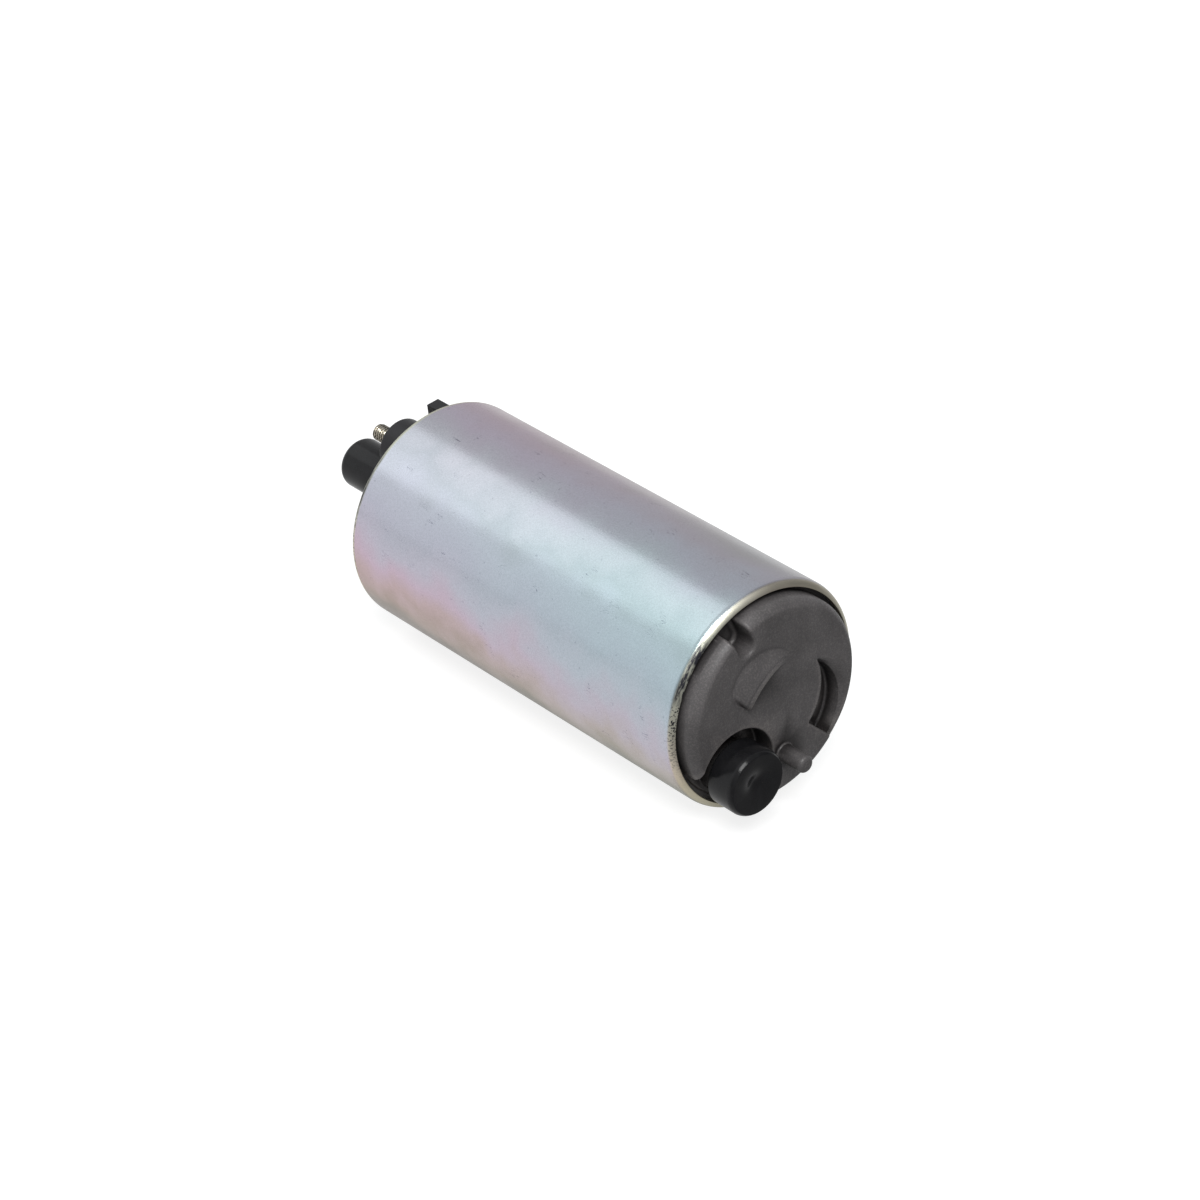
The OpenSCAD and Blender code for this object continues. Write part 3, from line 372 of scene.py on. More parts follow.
def surface_net(values: np.ndarray, axes: tuple[np.ndarray, ...]) -> Grid:
    """Points and faces of the surface where a field sampled on a grid is zero.

    Each cell that the surface crosses gets one point, at the mean of the crossings on its twelve
    edges, and each grid edge that it crosses joins the four cells round it by a face.

    Args:
        values: Distances at the grid's nodes, negative inside.
        axes: The grid's coordinates along the three directions.

    Returns:
        The points, and the corner numbers of the faces, which face outwards.
    """
    inside = values < 0
    shape = tuple(n - 1 for n in values.shape)
    count = sum(inside[i:i + shape[0], j:j + shape[1], k:k + shape[2]].astype(np.int8)
                for i in (0, 1) for j in (0, 1) for k in (0, 1))
    cells = np.argwhere((count > 0) & (count < 8))
    number = np.full(shape, -1, np.int32)
    number[tuple(cells.T)] = np.arange(len(cells))
    total, crossings = np.zeros((len(cells), 3)), np.zeros(len(cells))
    for axis in range(3):
        step = np.eye(3, dtype=int)[axis]
        others = [o for o in range(3) if o != axis]
        for da in (0, 1):
            for db in (0, 1):
                low = cells.copy()
                low[:, others[0]] += da
                low[:, others[1]] += db
                high = low + step
                f0, f1 = values[tuple(low.T)], values[tuple(high.T)]
                hit = (f0 < 0) != (f1 < 0)
                t = np.where(hit, f0 / np.where(hit, f0 - f1, 1), 0)
                place = np.stack([axes[o][low[:, o]] for o in range(3)], -1)
                place[:, axis] += t * (axes[axis][high[:, axis]] - axes[axis][low[:, axis]])
                total += place * hit[:, None]
                crossings += hit
    points = total / crossings[:, None]
    faces = []
    for axis in range(3):
        b, c = (axis + 1) % 3, (axis + 2) % 3
        layers = np.moveaxis(inside, axis, 0)
        edge = np.argwhere(np.moveaxis(layers[:-1] != layers[1:], 0, axis))
        edge = edge[(edge[:, b] > 0) & (edge[:, c] > 0)
                    & (edge[:, b] < shape[b]) & (edge[:, c] < shape[c])]
        starts_inside = inside[tuple(edge.T)]
        corner = []
        for db, dc in ((1, 1), (0, 1), (0, 0), (1, 0)):
            cell = edge.copy()
            cell[:, b] -= db
            cell[:, c] -= dc
            corner.append(number[tuple(cell.T)])
        quad = np.stack(corner, -1)
        quad[~starts_inside] = quad[~starts_inside][:, ::-1]
        faces.append(quad)
    return points, np.concatenate(faces)


def cast_mesh(name: str, distance: Field, low: Triple, high: Triple, pitch: float,
              keep: float) -> bpy.types.Mesh:
    """Mesh of a shape given by its distance field.

    The field's zero surface is found on a grid, its points are drawn onto the field's zero by
    two Newton steps, flat parts are thinned, and the normals are the field's own gradient. Two
    attributes tell how far a point lies in a hollow, and how near it is to a convex edge: both
    compare the field a little way off the surface with that distance.

    Args:
        name: Name of the mesh.
        distance: Signed distance to the shape from places x, y and z.
        low: Lowest corner of the grid.
        high: Highest corner of the grid.
        pitch: Spacing of the grid.
        keep: Share of the triangles that stays.

    Returns:
        The mesh.
    """
    axes = tuple(np.arange(a, b + pitch, pitch) for a, b in zip(low, high))
    points, faces = surface_net(distance(*np.ix_(*axes)), axes)

    def slope(p: np.ndarray) -> np.ndarray:
        """Gradient of the field at points, by central differences."""
        h = 0.01
        return np.stack([(distance(*(p + h * e).T) - distance(*(p - h * e).T)) / (2 * h)
                         for e in np.eye(3)], -1)

    for _ in range(2):
        g = slope(points)
        steep = np.maximum((g * g).sum(1, keepdims=True), 0.2)
        move = distance(*points.T)[:, None] * g / steep
        points = points - np.clip(move, -pitch, pitch)
    rough = new_object(name, new_mesh(name, points, faces))
    thin = rough.modifiers.new("thin", "DECIMATE")
    thin.ratio = keep
    view = bpy.context.evaluated_depsgraph_get()
    mesh = bpy.data.meshes.new_from_object(rough.evaluated_get(view))
    bpy.data.objects.remove(rough)
    mesh.name = name
    co = np.empty(len(mesh.vertices) * 3, np.float32)
    mesh.vertices.foreach_get("co", co)
    p = co.reshape(-1, 3).astype(float) / MM
    g = slope(p)
    normal = g / np.linalg.norm(g, axis=1, keepdims=True)
    mesh.polygons.foreach_set("use_smooth", np.ones(len(mesh.polygons), bool))
    mesh.normals_split_custom_set_from_vertices(normal)
    for label, reach, sign in (("hollow", HOLLOW_REACH, 1), ("edge", EDGE_REACH, -1)):
        depth = sign * distance(*(p + sign * reach * normal).T) / reach
        mesh.attributes.new(label, "FLOAT", "POINT").data.foreach_set(
            "value", np.clip(1 - depth, 0, 1).astype(np.float32))
    return mesh


# ---- finishes


class Nodes:
    """Node tree of a material or a world, with short calls for the nodes that they share."""

    def __init__(self, owner: bpy.types.Material | bpy.types.World,
                 coordinates: str = "Object") -> None:
        """Empties the tree of a material or world, and adds its coordinates."""
        self.owner = owner
        owner.use_nodes = True
        self.tree = owner.node_tree
        self.tree.nodes.clear()
        self.place = self.add("ShaderNodeTexCoord").outputs[coordinates]

    def add(self, kind: str, **settings: object) -> bpy.types.Node:
        """Adds a node of a kind, with settings."""
        node = self.tree.nodes.new(kind)
        for key, value in settings.items():
            setattr(node, key, value)
        return node

    def put(self, value: object, socket: Socket) -> None:
        """Links an output to a socket, or sets the socket to a number or colour."""
        if isinstance(value, Socket):
            self.tree.links.new(value, socket)
        elif isinstance(value, tuple) and len(value) == 3 and socket.type == "RGBA":
            socket.default_value = (*value, 1.0)
        else:
            socket.default_value = value

    def math(self, operation: str, a: object, b: object = 0.0) -> Socket:
        """Combination of two numbers."""
        node = self.add("ShaderNodeMath", operation=operation)
        self.put(a, node.inputs[0])
        self.put(b, node.inputs[1])
        return node.outputs[0]

    def plus(self, a: object, b: object) -> Socket:
        """Sum of two numbers."""
        return self.math("ADD", a, b)

    def times(self, a: object, b: object) -> Socket:
        """Product of two numbers."""
        return self.math("MULTIPLY", a, b)

    def split(self) -> tuple[Socket, ...]:
        """The three coordinates."""
        node = self.add("ShaderNodeSeparateXYZ")
        self.put(self.place, node.inputs[0])
        return tuple(node.outputs)

    def along(self, direction: Triple) -> Socket:
        """Share of the coordinates that lies along a direction."""
        node = self.add("ShaderNodeVectorMath", operation="DOT_PRODUCT")
        self.put(self.place, node.inputs[0])
        node.inputs[1].default_value = Vector(direction).normalized()
        return node.outputs["Value"]

    def stretched(self, scale: Triple, rotation: Triple = (0.0, 0.0, 0.0)) -> Socket:
        """The coordinates, scaled along the three directions and then turned."""
        node = self.add("ShaderNodeMapping")
        self.put(self.place, node.inputs["Vector"])
        node.inputs["Rotation"].default_value = rotation
        node.inputs["Scale"].default_value = scale
        return node.outputs["Vector"]

    def noise(self, size_mm: float, detail: float = 3, place: object = None,
              rough: float = 0.55) -> Socket:
        """Noise whose grains are about size_mm across."""
        node = self.add("ShaderNodeTexNoise")
        self.put(self.place if place is None else place, node.inputs["Vector"])
        node.inputs["Scale"].default_value = 1 / (size_mm * MM)
        node.inputs["Detail"].default_value = detail
        node.inputs["Roughness"].default_value = rough
        return node.outputs["Fac"]

    def steps(self, value: object, low: float, high: float, a: float = 0.0, b: float = 1.0
              ) -> Socket:
        """Maps low..high of a number smoothly to a..b."""
        node = self.add("ShaderNodeMapRange", interpolation_type="SMOOTHSTEP")
        self.put(value, node.inputs["Value"])
        limits = {"From Min": low, "From Max": high, "To Min": a, "To Max": b}
        for key, number in limits.items():
            node.inputs[key].default_value = number
        return node.outputs["Result"]

    def ramp(self, value: object, stops: list[tuple[float, Colour]]) -> Socket:
        """Colour that changes with a number through stops of place and colour."""
        node = self.add("ShaderNodeValToRGB")
        self.put(value, node.inputs["Fac"])
        ramp = node.color_ramp
        ramp.elements[0].position, ramp.elements[1].position = stops[0][0], stops[-1][0]
        for place, _ in stops[1:-1]:
            ramp.elements.new(place)
        for element, (_, colour) in zip(sorted(ramp.elements, key=lambda e: e.position), stops):
            element.color = (*colour, 1.0)
        return node.outputs["Color"]

    def mix(self, factor: object, a: object, b: object, blend: str = "MIX") -> Socket:
        """Mixture of two colours."""
        node = self.add("ShaderNodeMix", data_type="RGBA", blend_type=blend)
        self.put(factor, node.inputs[0])
        self.put(a, node.inputs[6])
        self.put(b, node.inputs[7])
        return node.outputs[2]

    def tint(self, a: object, b: object) -> Socket:
        """Product of two colours."""
        return self.mix(1.0, a, b, "MULTIPLY")

    def grey(self, factor: object, low: float, high: float) -> Socket:
        """Grey between two levels."""
        return self.mix(factor, (low, low, low), (high, high, high))

    def bump(self, height: object, depth_mm: float) -> Socket:
        """Normal of a surface whose height varies by depth_mm."""
        node = self.add("ShaderNodeBump")
        node.inputs["Strength"].default_value = 1.0
        node.inputs["Distance"].default_value = depth_mm * MM
        self.put(height, node.inputs["Height"])
        return node.outputs["Normal"]

    def finish(self, **sockets: object) -> bpy.types.Material:
        """Adds the shader, with its sockets set or linked, and returns the material.

        Args:
            **sockets: Socket names with _ for a space, and what goes in.

        Returns:
            The material.
        """
        shader = self.add("ShaderNodeBsdfPrincipled")
        for key, value in sockets.items():
            self.put(value, shader.inputs[key.replace("_", " ")])
        self.put(shader.outputs[0], self.add("ShaderNodeOutputMaterial").inputs["Surface"])
        return self.owner


@dataclass(frozen=True)
class Finish:
    """General finish: mottled colour, uneven gloss and a fine grain.

    Attributes:
        slot: Name of the record's slot and of the material.
        colour: Base colour.
        second: Colour of the mottling.
        metal: Whether it is a bare metal.
        rough: Least and greatest roughness.
        patch_mm: Size of the colour patches.
        grain_mm: Size of the grain.
        grain_depth: Depth of the grain in mm.
        lines: Scale along X, Y and Z that draws the grain into lines.
        coat: Strength of a clear coat.
        specular: Strength of the gloss of a plastic.
    """

    slot: str
    colour: Colour
    second: Colour
    metal: bool = False
    rough: tuple[float, float] = (0.45, 0.6)
    patch_mm: float = 4.0
    grain_mm: float = 0.4
    grain_depth: float = 0.02
    lines: Triple = (1.0, 1.0, 1.0)
    coat: float = 0.0
    specular: float = 0.5

    def make(self) -> bpy.types.Material:
        """Builds the material."""
        n = Nodes(bpy.data.materials.new(self.slot))
        patch = n.noise(self.patch_mm, 4)
        grain = n.noise(self.grain_mm, 4, n.stretched(self.lines))
        mixed = n.mix(n.steps(patch, 0.35, 0.65), self.colour, self.second)
        shade = n.grey(n.steps(grain, 0.3, 0.7), 0.86, 1.06)
        gloss = n.plus(n.times(patch, 0.5), n.times(grain, 0.5))
        return n.finish(Base_Color=n.tint(mixed, shade), Metallic=float(self.metal),
                        Roughness=n.steps(gloss, 0.35, 0.65, *self.rough),
                        Coat_Weight=self.coat, Coat_Roughness=0.12,
                        Specular_IOR_Level=self.specular, Normal=n.bump(grain, self.grain_depth))


# Colour of the passivation's film against the turn about the axis, with painted light and
# shade in its brightness: darkest at 0.57 to 0.60, low on the -Y side where the tube nears the
# floor
FILM_AND_SHADE_STOPS = [
    (0.0, (0.50, 0.50, 0.52)),
    (0.17, (0.53, 0.47, 0.50)),
    (0.21, (0.57, 0.50, 0.57)),
    (0.26, (0.59, 0.57, 0.66)),
    (0.32, (0.58, 0.63, 0.68)),
    (0.36, (0.49, 0.56, 0.60)),
    (0.40, (0.57, 0.64, 0.71)),
    (0.44, (0.55, 0.60, 0.68)),
    (0.47, (0.60, 0.62, 0.71)),
    (0.51, (0.66, 0.56, 0.66)),
    (0.54, (0.61, 0.50, 0.50)),
    (0.57, (0.48, 0.40, 0.35)),
    (0.60, (0.33, 0.30, 0.25)),
    (0.75, (0.45, 0.44, 0.44)),
    (1.0, (0.50, 0.50, 0.52)),
]


@dataclass(frozen=True)
class ZincFinish:
    """Zinc plating with a thin iridescent passivation that drifts in colour round the tube, with
    painted light, shade and reflections in its colour.

    Attributes:
        slot: Name of the record's slot and of the material.
        rim: Distances in metres from the middle between which the rolled rim begins.
        dark_reflection_colour: Colour of the painted dark reflection on the rim, laid in streaks.
    """

    slot: str = "plated_steel"
    rim: tuple[float, float] = (0.0512, 0.0518)
    dark_reflection_colour: Colour = (0.05, 0.05, 0.06)

    def make(self) -> bpy.types.Material:
        """Builds the material.

        The colour follows the angle about the axis, bent by slow noise, so the passivation's
        film runs from grey violet over blue and green to pink and straw yellow. Its brightness
        round the tube is partly painted light and shade, a tint along the tube is a painted
        reflection, the rim's cream and straw are partly painted reflection, and the rim's dark
        streaks are a painted reflection.

        Returns:
            The material.
        """
        n = Nodes(bpy.data.materials.new(self.slot))
        x, y, z = n.split()
        drift, fine, grain = n.noise(28, 3), n.noise(9, 3), n.noise(0.35, 2)
        angle = n.math("ARCTAN2", n.times(z, -1.0), n.times(y, -1.0))
        turn = n.plus(n.times(angle, 1 / TURN), 0.5)
        bend = n.plus(n.times(n.math("SUBTRACT", drift, 0.5), 0.14),
                      n.times(n.math("SUBTRACT", fine, 0.5), 0.05))
        film = n.math("FRACT", n.plus(n.plus(turn, bend), n.times(x, -0.35)))
        # Painted reflection: pinker towards -X and greener towards +X, as the reflections change
        # along the tube.
        end_reflection_tint = n.mix(n.steps(x, -0.05, 0.05), (1.05, 0.97, 0.99), (0.93, 1.02, 0.99))
        # Rim tint, straw yellow below and cream above: partly the film's colour, partly painted
        # reflection.
        straw = n.mix(n.steps(z, -0.008, 0.004), (1.08, 0.99, 0.72), (1.08, 1.05, 0.82))
        rim = n.steps(n.math("ABSOLUTE", x), *self.rim)
        # The ramp gives the film's colour together with painted light and shade round the tube.
        colour = n.tint(n.ramp(film, FILM_AND_SHADE_STOPS), n.grey(n.steps(grain, 0.3, 0.7), 0.94, 1.04))
        colour = n.tint(colour, n.mix(rim, end_reflection_tint, straw))
        # Cream on the rim: partly the film's colour, partly painted reflection.
        colour = n.mix(n.times(rim, 0.6), colour, (0.68, 0.66, 0.54))
        # Painted dark reflection on the rim, in streaks and specks.
        colour = n.mix(n.times(self.dark_reflection_streaks(n, turn), rim), colour, self.dark_reflection_colour)
        pits = n.steps(n.noise(1.1, 2), 0.26, 0.3, 0.72, 1.0)
        worn = n.mix(n.times(self.scratches(n), pits), (0.45, 0.45, 0.5), (1.0, 1.0, 1.0))
        height = n.plus(n.times(grain, 0.45), n.times(n.noise(0.55, 3, rough=0.7), 0.55))
        rough = n.plus(n.steps(fine, 0.3, 0.7, 0.21, 0.27), n.times(rim, 0.22))
        return n.finish(Base_Color=n.tint(colour, worn), Metallic=1.0, Roughness=rough,
                        Normal=n.bump(height, 0.022))

    def dark_reflection_streaks(self, n: Nodes, turn: Socket) -> Socket:
        """Share of the painted dark reflection on a rolled rim, laid in streaks.

        They are dense over a sixth of the turn, then specks that thin out.

        Args:
            n: The material's nodes.
            turn: Share of a turn about the axis.

        Returns:
            Number from 0 to 1.
        """
        streak = n.noise(0.9, 4, n.stretched((2.5, 0.35, 0.35)), 0.7)
        dense = n.times(n.steps(turn, 0.345, 0.375), n.steps(turn, 0.44, 0.46, 1.0, 0.0))
        sparse = n.times(n.steps(turn, 0.44, 0.46), n.steps(turn, 0.47, 0.6, 1.0, 0.0))
        return n.math("MAXIMUM", n.times(dense, n.steps(streak, 0.44, 0.62, 1.0, 0.3)),
                      n.times(sparse, n.steps(n.noise(0.45, 2), 0.52, 0.6)))

    def scratches(self, n: Nodes) -> Socket:
        """Mask that is 0 in a few short scratches along and across the tube."""
        line = n.noise(0.6, 1, n.stretched((0.18, 1.0, 1.0), (0.4, 0.25, 0.1)))
        thin = n.steps(n.math("ABSOLUTE", n.math("SUBTRACT", line, 0.5)), 0.0, 0.016)
        return n.math("MAXIMUM", thin, n.steps(n.noise(6, 1), 0.3, 0.34))


@dataclass(frozen=True)
class CastFinish:
    """Dark grey blasted casting, grainy, with painted shade in its hollows and lighter edges,
    partly worn and partly a painted highlight.

    Attributes:
        slot: Name of the record's slot and of the material.
        colour: Base colour.
    """

    slot: str = "cast_aluminium"
    colour: Colour = (0.088, 0.083, 0.084)

    def make(self) -> bpy.types.Material:
        """Builds the material: painted shade darkens its hollows, and its edges are lighter, partly
        rubbed wear and partly a painted highlight.
        """
        n = Nodes(bpy.data.materials.new(self.slot))
        coarse, grain, cloud = n.noise(1.1, 3), n.noise(0.38, 3, rough=0.7), n.noise(9, 3)
        hollow = n.add("ShaderNodeAttribute", attribute_name="hollow").outputs["Fac"]
        edge = n.add("ShaderNodeAttribute", attribute_name="edge").outputs["Fac"]
        base = n.mix(n.steps(cloud, 0.3, 0.7), tuple(c * 0.88 for c in self.colour),
                     tuple(c * 1.2 for c in self.colour))
        speck = n.mix(n.steps(grain, 0.42, 0.75), (0.85, 0.85, 0.85), (1.4, 1.38, 1.35))
        # Lighter edges: partly rubbed wear, partly a painted highlight.
        worn_and_highlit_edges = n.times(n.steps(edge, 0.06, 0.6), n.steps(coarse, 0.2, 0.55, 0.6, 1.0))
        light = n.mix(worn_and_highlit_edges, (1.0, 1.0, 1.0), (1.4, 1.38, 1.34))
        # Painted shade: the hollows darken to a fifth of the colour.
        dark = n.mix(n.steps(hollow, 0.05, 0.75), (1.0, 1.0, 1.0), (0.2, 0.19, 0.19))
        height = n.plus(n.times(coarse, 0.4), n.times(grain, 0.6))
        return n.finish(Base_Color=n.tint(n.tint(base, speck), n.tint(light, dark)),
                        Metallic=0.0, Specular_IOR_Level=0.35,
                        Roughness=n.steps(grain, 0.3, 0.7, 0.5, 0.36),
                        Normal=n.bump(height, 0.03))


def finishes() -> dict[str, bpy.types.Material]:
    """Makes every finish once, by the name of its slot."""
    plain = [
        Finish("machined_aluminium", (0.50, 0.50, 0.51), (0.44, 0.44, 0.46), True, (0.28, 0.42),
               grain_mm=0.2, grain_depth=0.006, lines=(1, 6, 6)),
        Finish("seal_rubber", (0.022, 0.022, 0.024), (0.03, 0.03, 0.031), rough=(0.45, 0.62),
               grain_mm=0.25, grain_depth=0.01),
        Finish("hard_steel", (0.56, 0.56, 0.58), (0.50, 0.50, 0.52), True, (0.16, 0.28),
               grain_mm=0.15, grain_depth=0.003, lines=(1, 5, 5)),
        Finish("bronze", (0.46, 0.31, 0.15), (0.38, 0.25, 0.12), True, (0.38, 0.55),
               grain_mm=0.2, grain_depth=0.015),
        Finish("phenolic", (0.12, 0.06, 0.03), (0.09, 0.045, 0.025), rough=(0.35, 0.5),
               grain_mm=0.5, grain_depth=0.01),
        Finish("lamination_steel", (0.32, 0.33, 0.36), (0.26, 0.27, 0.30), True, (0.35, 0.5),
               grain_mm=0.5, grain_depth=0.03, lines=(12, 0.2, 0.2)),
        Finish("copper", (0.72, 0.30, 0.15), (0.62, 0.22, 0.10), True, (0.25, 0.4),
               grain_mm=0.3, grain_depth=0.004, coat=0.3),
        Finish("black_nylon", (0.03, 0.03, 0.032), (0.04, 0.04, 0.042), rough=(0.4, 0.55),
               grain_mm=0.3, grain_depth=0.008),
        Finish("ferrite", (0.055, 0.055, 0.06), (0.075, 0.075, 0.08), False, (0.5, 0.7),
               grain_mm=0.4, grain_depth=0.03),
        Finish("spring_steel", (0.50, 0.50, 0.52), (0.42, 0.42, 0.45), True, (0.22, 0.34),
               grain_mm=0.2, grain_depth=0.003),
        Finish("brown_moulding", (0.085, 0.05, 0.03), (0.07, 0.04, 0.024), rough=(0.4, 0.55),
               grain_mm=0.4, grain_depth=0.01),
        Finish("carbon", (0.035, 0.035, 0.038), (0.05, 0.05, 0.053), rough=(0.55, 0.75),
               grain_mm=0.3, grain_depth=0.02),
        Finish("black_moulding", (0.012, 0.012, 0.0135), (0.016, 0.016, 0.018), rough=(0.28, 0.42),
               grain_mm=0.35, grain_depth=0.008, specular=0.3),
        Finish("nickel_plate", (0.70, 0.66, 0.57), (0.63, 0.58, 0.49), True, (0.2, 0.3),
               patch_mm=2.5, grain_mm=0.25, grain_depth=0.002),
        Finish("white_acetal", (0.74, 0.74, 0.70), (0.70, 0.70, 0.66), rough=(0.35, 0.5),
               grain_mm=0.4, grain_depth=0.006),
        Finish("cap_plastic", (0.008, 0.008, 0.009), (0.011, 0.011, 0.012), rough=(0.16, 0.24),
               patch_mm=6, grain_mm=1.4, grain_depth=0.004, specular=0.24),
    ]
    return {f.slot: f.make() for f in [*plain, ZincFinish(), CastFinish()]}


# ---- pieces


@dataclass
class Assembly:
    """Part of the pump that makes pieces, dresses them and reports them.

    Attributes:
        finish: Every finish by its slot's name.
    """

    finish: dict[str, bpy.types.Material]

    def show(self, name: str, mesh: bpy.types.Mesh, body: Body | None, *nodes: str
             ) -> bpy.types.Object:
        """Shows a mesh as a piece that stands for CAD nodes, in the finish of the first of them.

        Args:
            name: Name of the piece.
            mesh: Its mesh.
            body: The body that it rides on, or None for a piece that rides on none.
            *nodes: The nodes that it stands for.

        Returns:
            The piece.
        """
        slot = next(part["material_slot"] for part in frame["record"]["subparts"]
                    if part["node"] == nodes[0])
        piece = new_object(name, mesh)
        mesh.materials.clear()
        mesh.materials.append(self.finish[slot])
        if body is not None:
            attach(piece, body.value)
        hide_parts(*nodes)
        carrier = body.value if body else "two bodies"
        LOG.info("%s: %d faces, %s, on %s", name, len(mesh.polygons), slot, carrier)
        return piece


@dataclass
class Shell(Assembly):
    """Rolled steel tube of the case.

    Attributes:
        wall: Thickness of the tube.
        seat_wall: Thickness of its wall at the two counterbores.
        seats: X of the two ends of each counterbore, inlet end first.
        lip_r: Inner radius of the rolled rims.
        roll: Radius that the inlet end's rim is rolled to.
    """

    wall: float = 1.6
    seat_wall: float = 1.0
    seats: tuple[float, float, float, float] = (50.35, 47.35, -47.55, -50.75)
    lip_r: float = 24.45
    roll: float = 2.3

    def build(self) -> None:
        """Turns the tube, its counterbores and the two rolled rims from one closed outline.

        The inlet end's rim is an arc of radius roll that the lip's bore cuts off.
        """
        bore, seat, (a, b, c, d) = CASE_R - self.wall, CASE_R - self.seat_wall, self.seats
        t = np.linspace(0, math.acos(1 - (CASE_R - self.lip_r) / self.roll), 14)
        x, r = RIM_X - self.roll * (1 - np.sin(t)), CASE_R - self.roll * (1 - np.cos(t))
        outline = rounded_outline([
            (-RIM_X, CASE_R, 1.2), *zip(x, r, [0.0] * 13 + [0.12]),
            (a, self.lip_r, 0.1), (a, seat, 0), (b, seat, 0), (b, bore, 0),
            (c, bore, 0), (c, seat, 0), (d, seat, 0), (d, self.lip_r, 0.1),
            (-RIM_X, self.lip_r, 0.2)], 6)
        self.show("case_tube", revolve("case_tube", outline, columns=320, sharp_deg=50),
                  Body.PUMP, "case_shell")


@dataclass
class Casting(Assembly):
    """Cast inlet cover as one distance field, with the fillets of a casting.

    Attributes:
        side_r: Radius of the cover's side.
        flange_r: Radius of the flange that the case's rim holds.
        spigot_r: Radius of the part inside the case.
        edge_round: Rounding of the face's edge.
        edge_in: Distance of the crease from the side.
        inner_x: X of the side that faces the impeller.
        seat_x: X of the flange's back.
        shoulder_x: X of the flange's front.
        pocket_x: X of the floor of the inlet's pocket.
        pocket_r: Radius of that pocket.
        stub_x: X of the inlet stub's end.
        stub_r: Radius of the stub.
        bore_r: Radius of its bore.
        port_r: Radius of the port at the bore's end.
        peg_x: X of the strainer peg's end.
        peg_r: Radius of the peg.
        channel_mid: Radius of the flow channel's middle.
        channel_r: Radius of its section.
        vent_r: Radius of the vent from the channel.
        seal_r: Radius of the seal's groove.
        seal_x: X of its middle.
        pad_r: Radius of the thrust pad's recess.
        crest_r: Radius of the raised arc's crest.
        crest: Rounding of that crest.
        ridge_at: Y and Z of the arc's centre.
        ridge_turn: Angle of the arc's middle about the axis.
        tilt: Angle by which the arc's circle is tilted.
        slope: Angle of its outer slope to that circle.
        ridge_h: Height of the arc over the face.
        land: Width of the flat land inside the crest.
        groove: Depth of the groove round the arc's foot.
        pitch: Spacing of the grid that its surface is found on.
        kept: Share of the triangles that stays.
    """

    side_r: float = 23.3
    flange_r: float = 24.94
    spigot_r: float = 24.34
    edge_round: float = 3.2
    edge_in: float = 1.6
    inner_x: float = 44.35
    seat_x: float = 47.35
    shoulder_x: float = 50.35
    pocket_x: float = 50.85
    pocket_r: float = 10.0
    stub_x: float = 60.15
    stub_r: float = 5.9
    bore_r: float = 4.2
    port_r: float = 2.5
    peg_x: float = 63.35
    peg_r: float = 2.0
    channel_mid: float = 16.7
    channel_r: float = 2.3
    vent_r: float = 0.6
    seal_r: float = 22.84
    seal_x: float = 45.85
    pad_r: float = 2.93
    crest_r: float = 10.1
    crest: float = 0.5
    ridge_at: tuple[float, float] = (0.4, 0.7)
    ridge_turn: float = math.radians(134)
    tilt: float = math.radians(18)
    slope: float = math.radians(38.5)
    ridge_h: float = 1.55
    land: float = 1.5
    groove: float = 0.3
    pitch: float = 0.25
    kept: float = 0.42

    def turned_body(self, x: np.ndarray, y: np.ndarray, z: np.ndarray) -> np.ndarray:
        """Distance to the turned body: spigot, flange and face with its rounded, creased edge."""
        rho = np.hypot(y, z)
        drop = math.sqrt(self.edge_round ** 2 - (self.edge_round - self.edge_in) ** 2)
        a, c = rho - (self.side_r - self.edge_round), x - (FACE_X - drop)
        side = np.where(c > 0, np.hypot(np.maximum(a, 0), c), a) - self.edge_round
        upper = round_max(x - FACE_X - self.lip(y, z) + self.foot(y, z), side, 0.16)
        upper = np.maximum(upper, self.shoulder_x - 0.5 - x)
        middle = (self.seat_x + self.shoulder_x) / 2
        flange = round_max(rho - self.flange_r, np.abs(x - middle) - 1.5, 0.2)
        inside = np.maximum(self.inner_x - x, x - self.seat_x - 0.5)
        return np.minimum(round_min(upper, flange, 0.3),
                          round_max(rho - self.spigot_r, inside, 0.3))

    def lip(self, y: np.ndarray, z: np.ndarray) -> np.ndarray:
        """Height of the bead beside the crescent pocket.

        It is a bell curve across the bead, faded at its ends.
        """
        s, t = turned(y, z, math.radians(-9))
        window = np.clip((33 - np.degrees(np.abs(np.arctan2(t, s)))) / 6, 0, 1)
        return 0.22 * np.exp(-((np.hypot(y, z) - 12.45) / 0.42) ** 2) * window

    def ridge_place(self, y: np.ndarray, z: np.ndarray) -> tuple[np.ndarray, np.ndarray]:
        """Coordinates towards the ridge's middle and across it, from the arc's centre."""
        return turned(y - self.ridge_at[0], z - self.ridge_at[1], self.ridge_turn)

    def ridge_slope(self, x: np.ndarray | float, y: np.ndarray, z: np.ndarray
                    ) -> tuple[np.ndarray, np.ndarray]:
        """Distance to the ridge's cone, and how far out of its tilted circle a point lies."""
        s, t = self.ridge_place(y, z)
        h = x - (FACE_X + self.ridge_h - self.crest_r * math.sin(self.tilt) - self.crest)
        out = s * math.cos(self.tilt) + h * math.sin(self.tilt)
        up = h * math.cos(self.tilt) - s * math.sin(self.tilt)
        q = np.hypot(out, t) - self.crest_r
        return q * math.sin(self.slope) + up * math.cos(self.slope) - self.crest, q

    def ridge_end(self, y: np.ndarray, z: np.ndarray) -> np.ndarray:
        """Distance beyond the plane that cuts the ridge off."""
        lean = math.radians(26)
        across, beyond = turned(y, z, math.radians(161))
        return (across - self.crest_r) * math.sin(lean) + beyond * math.cos(lean)

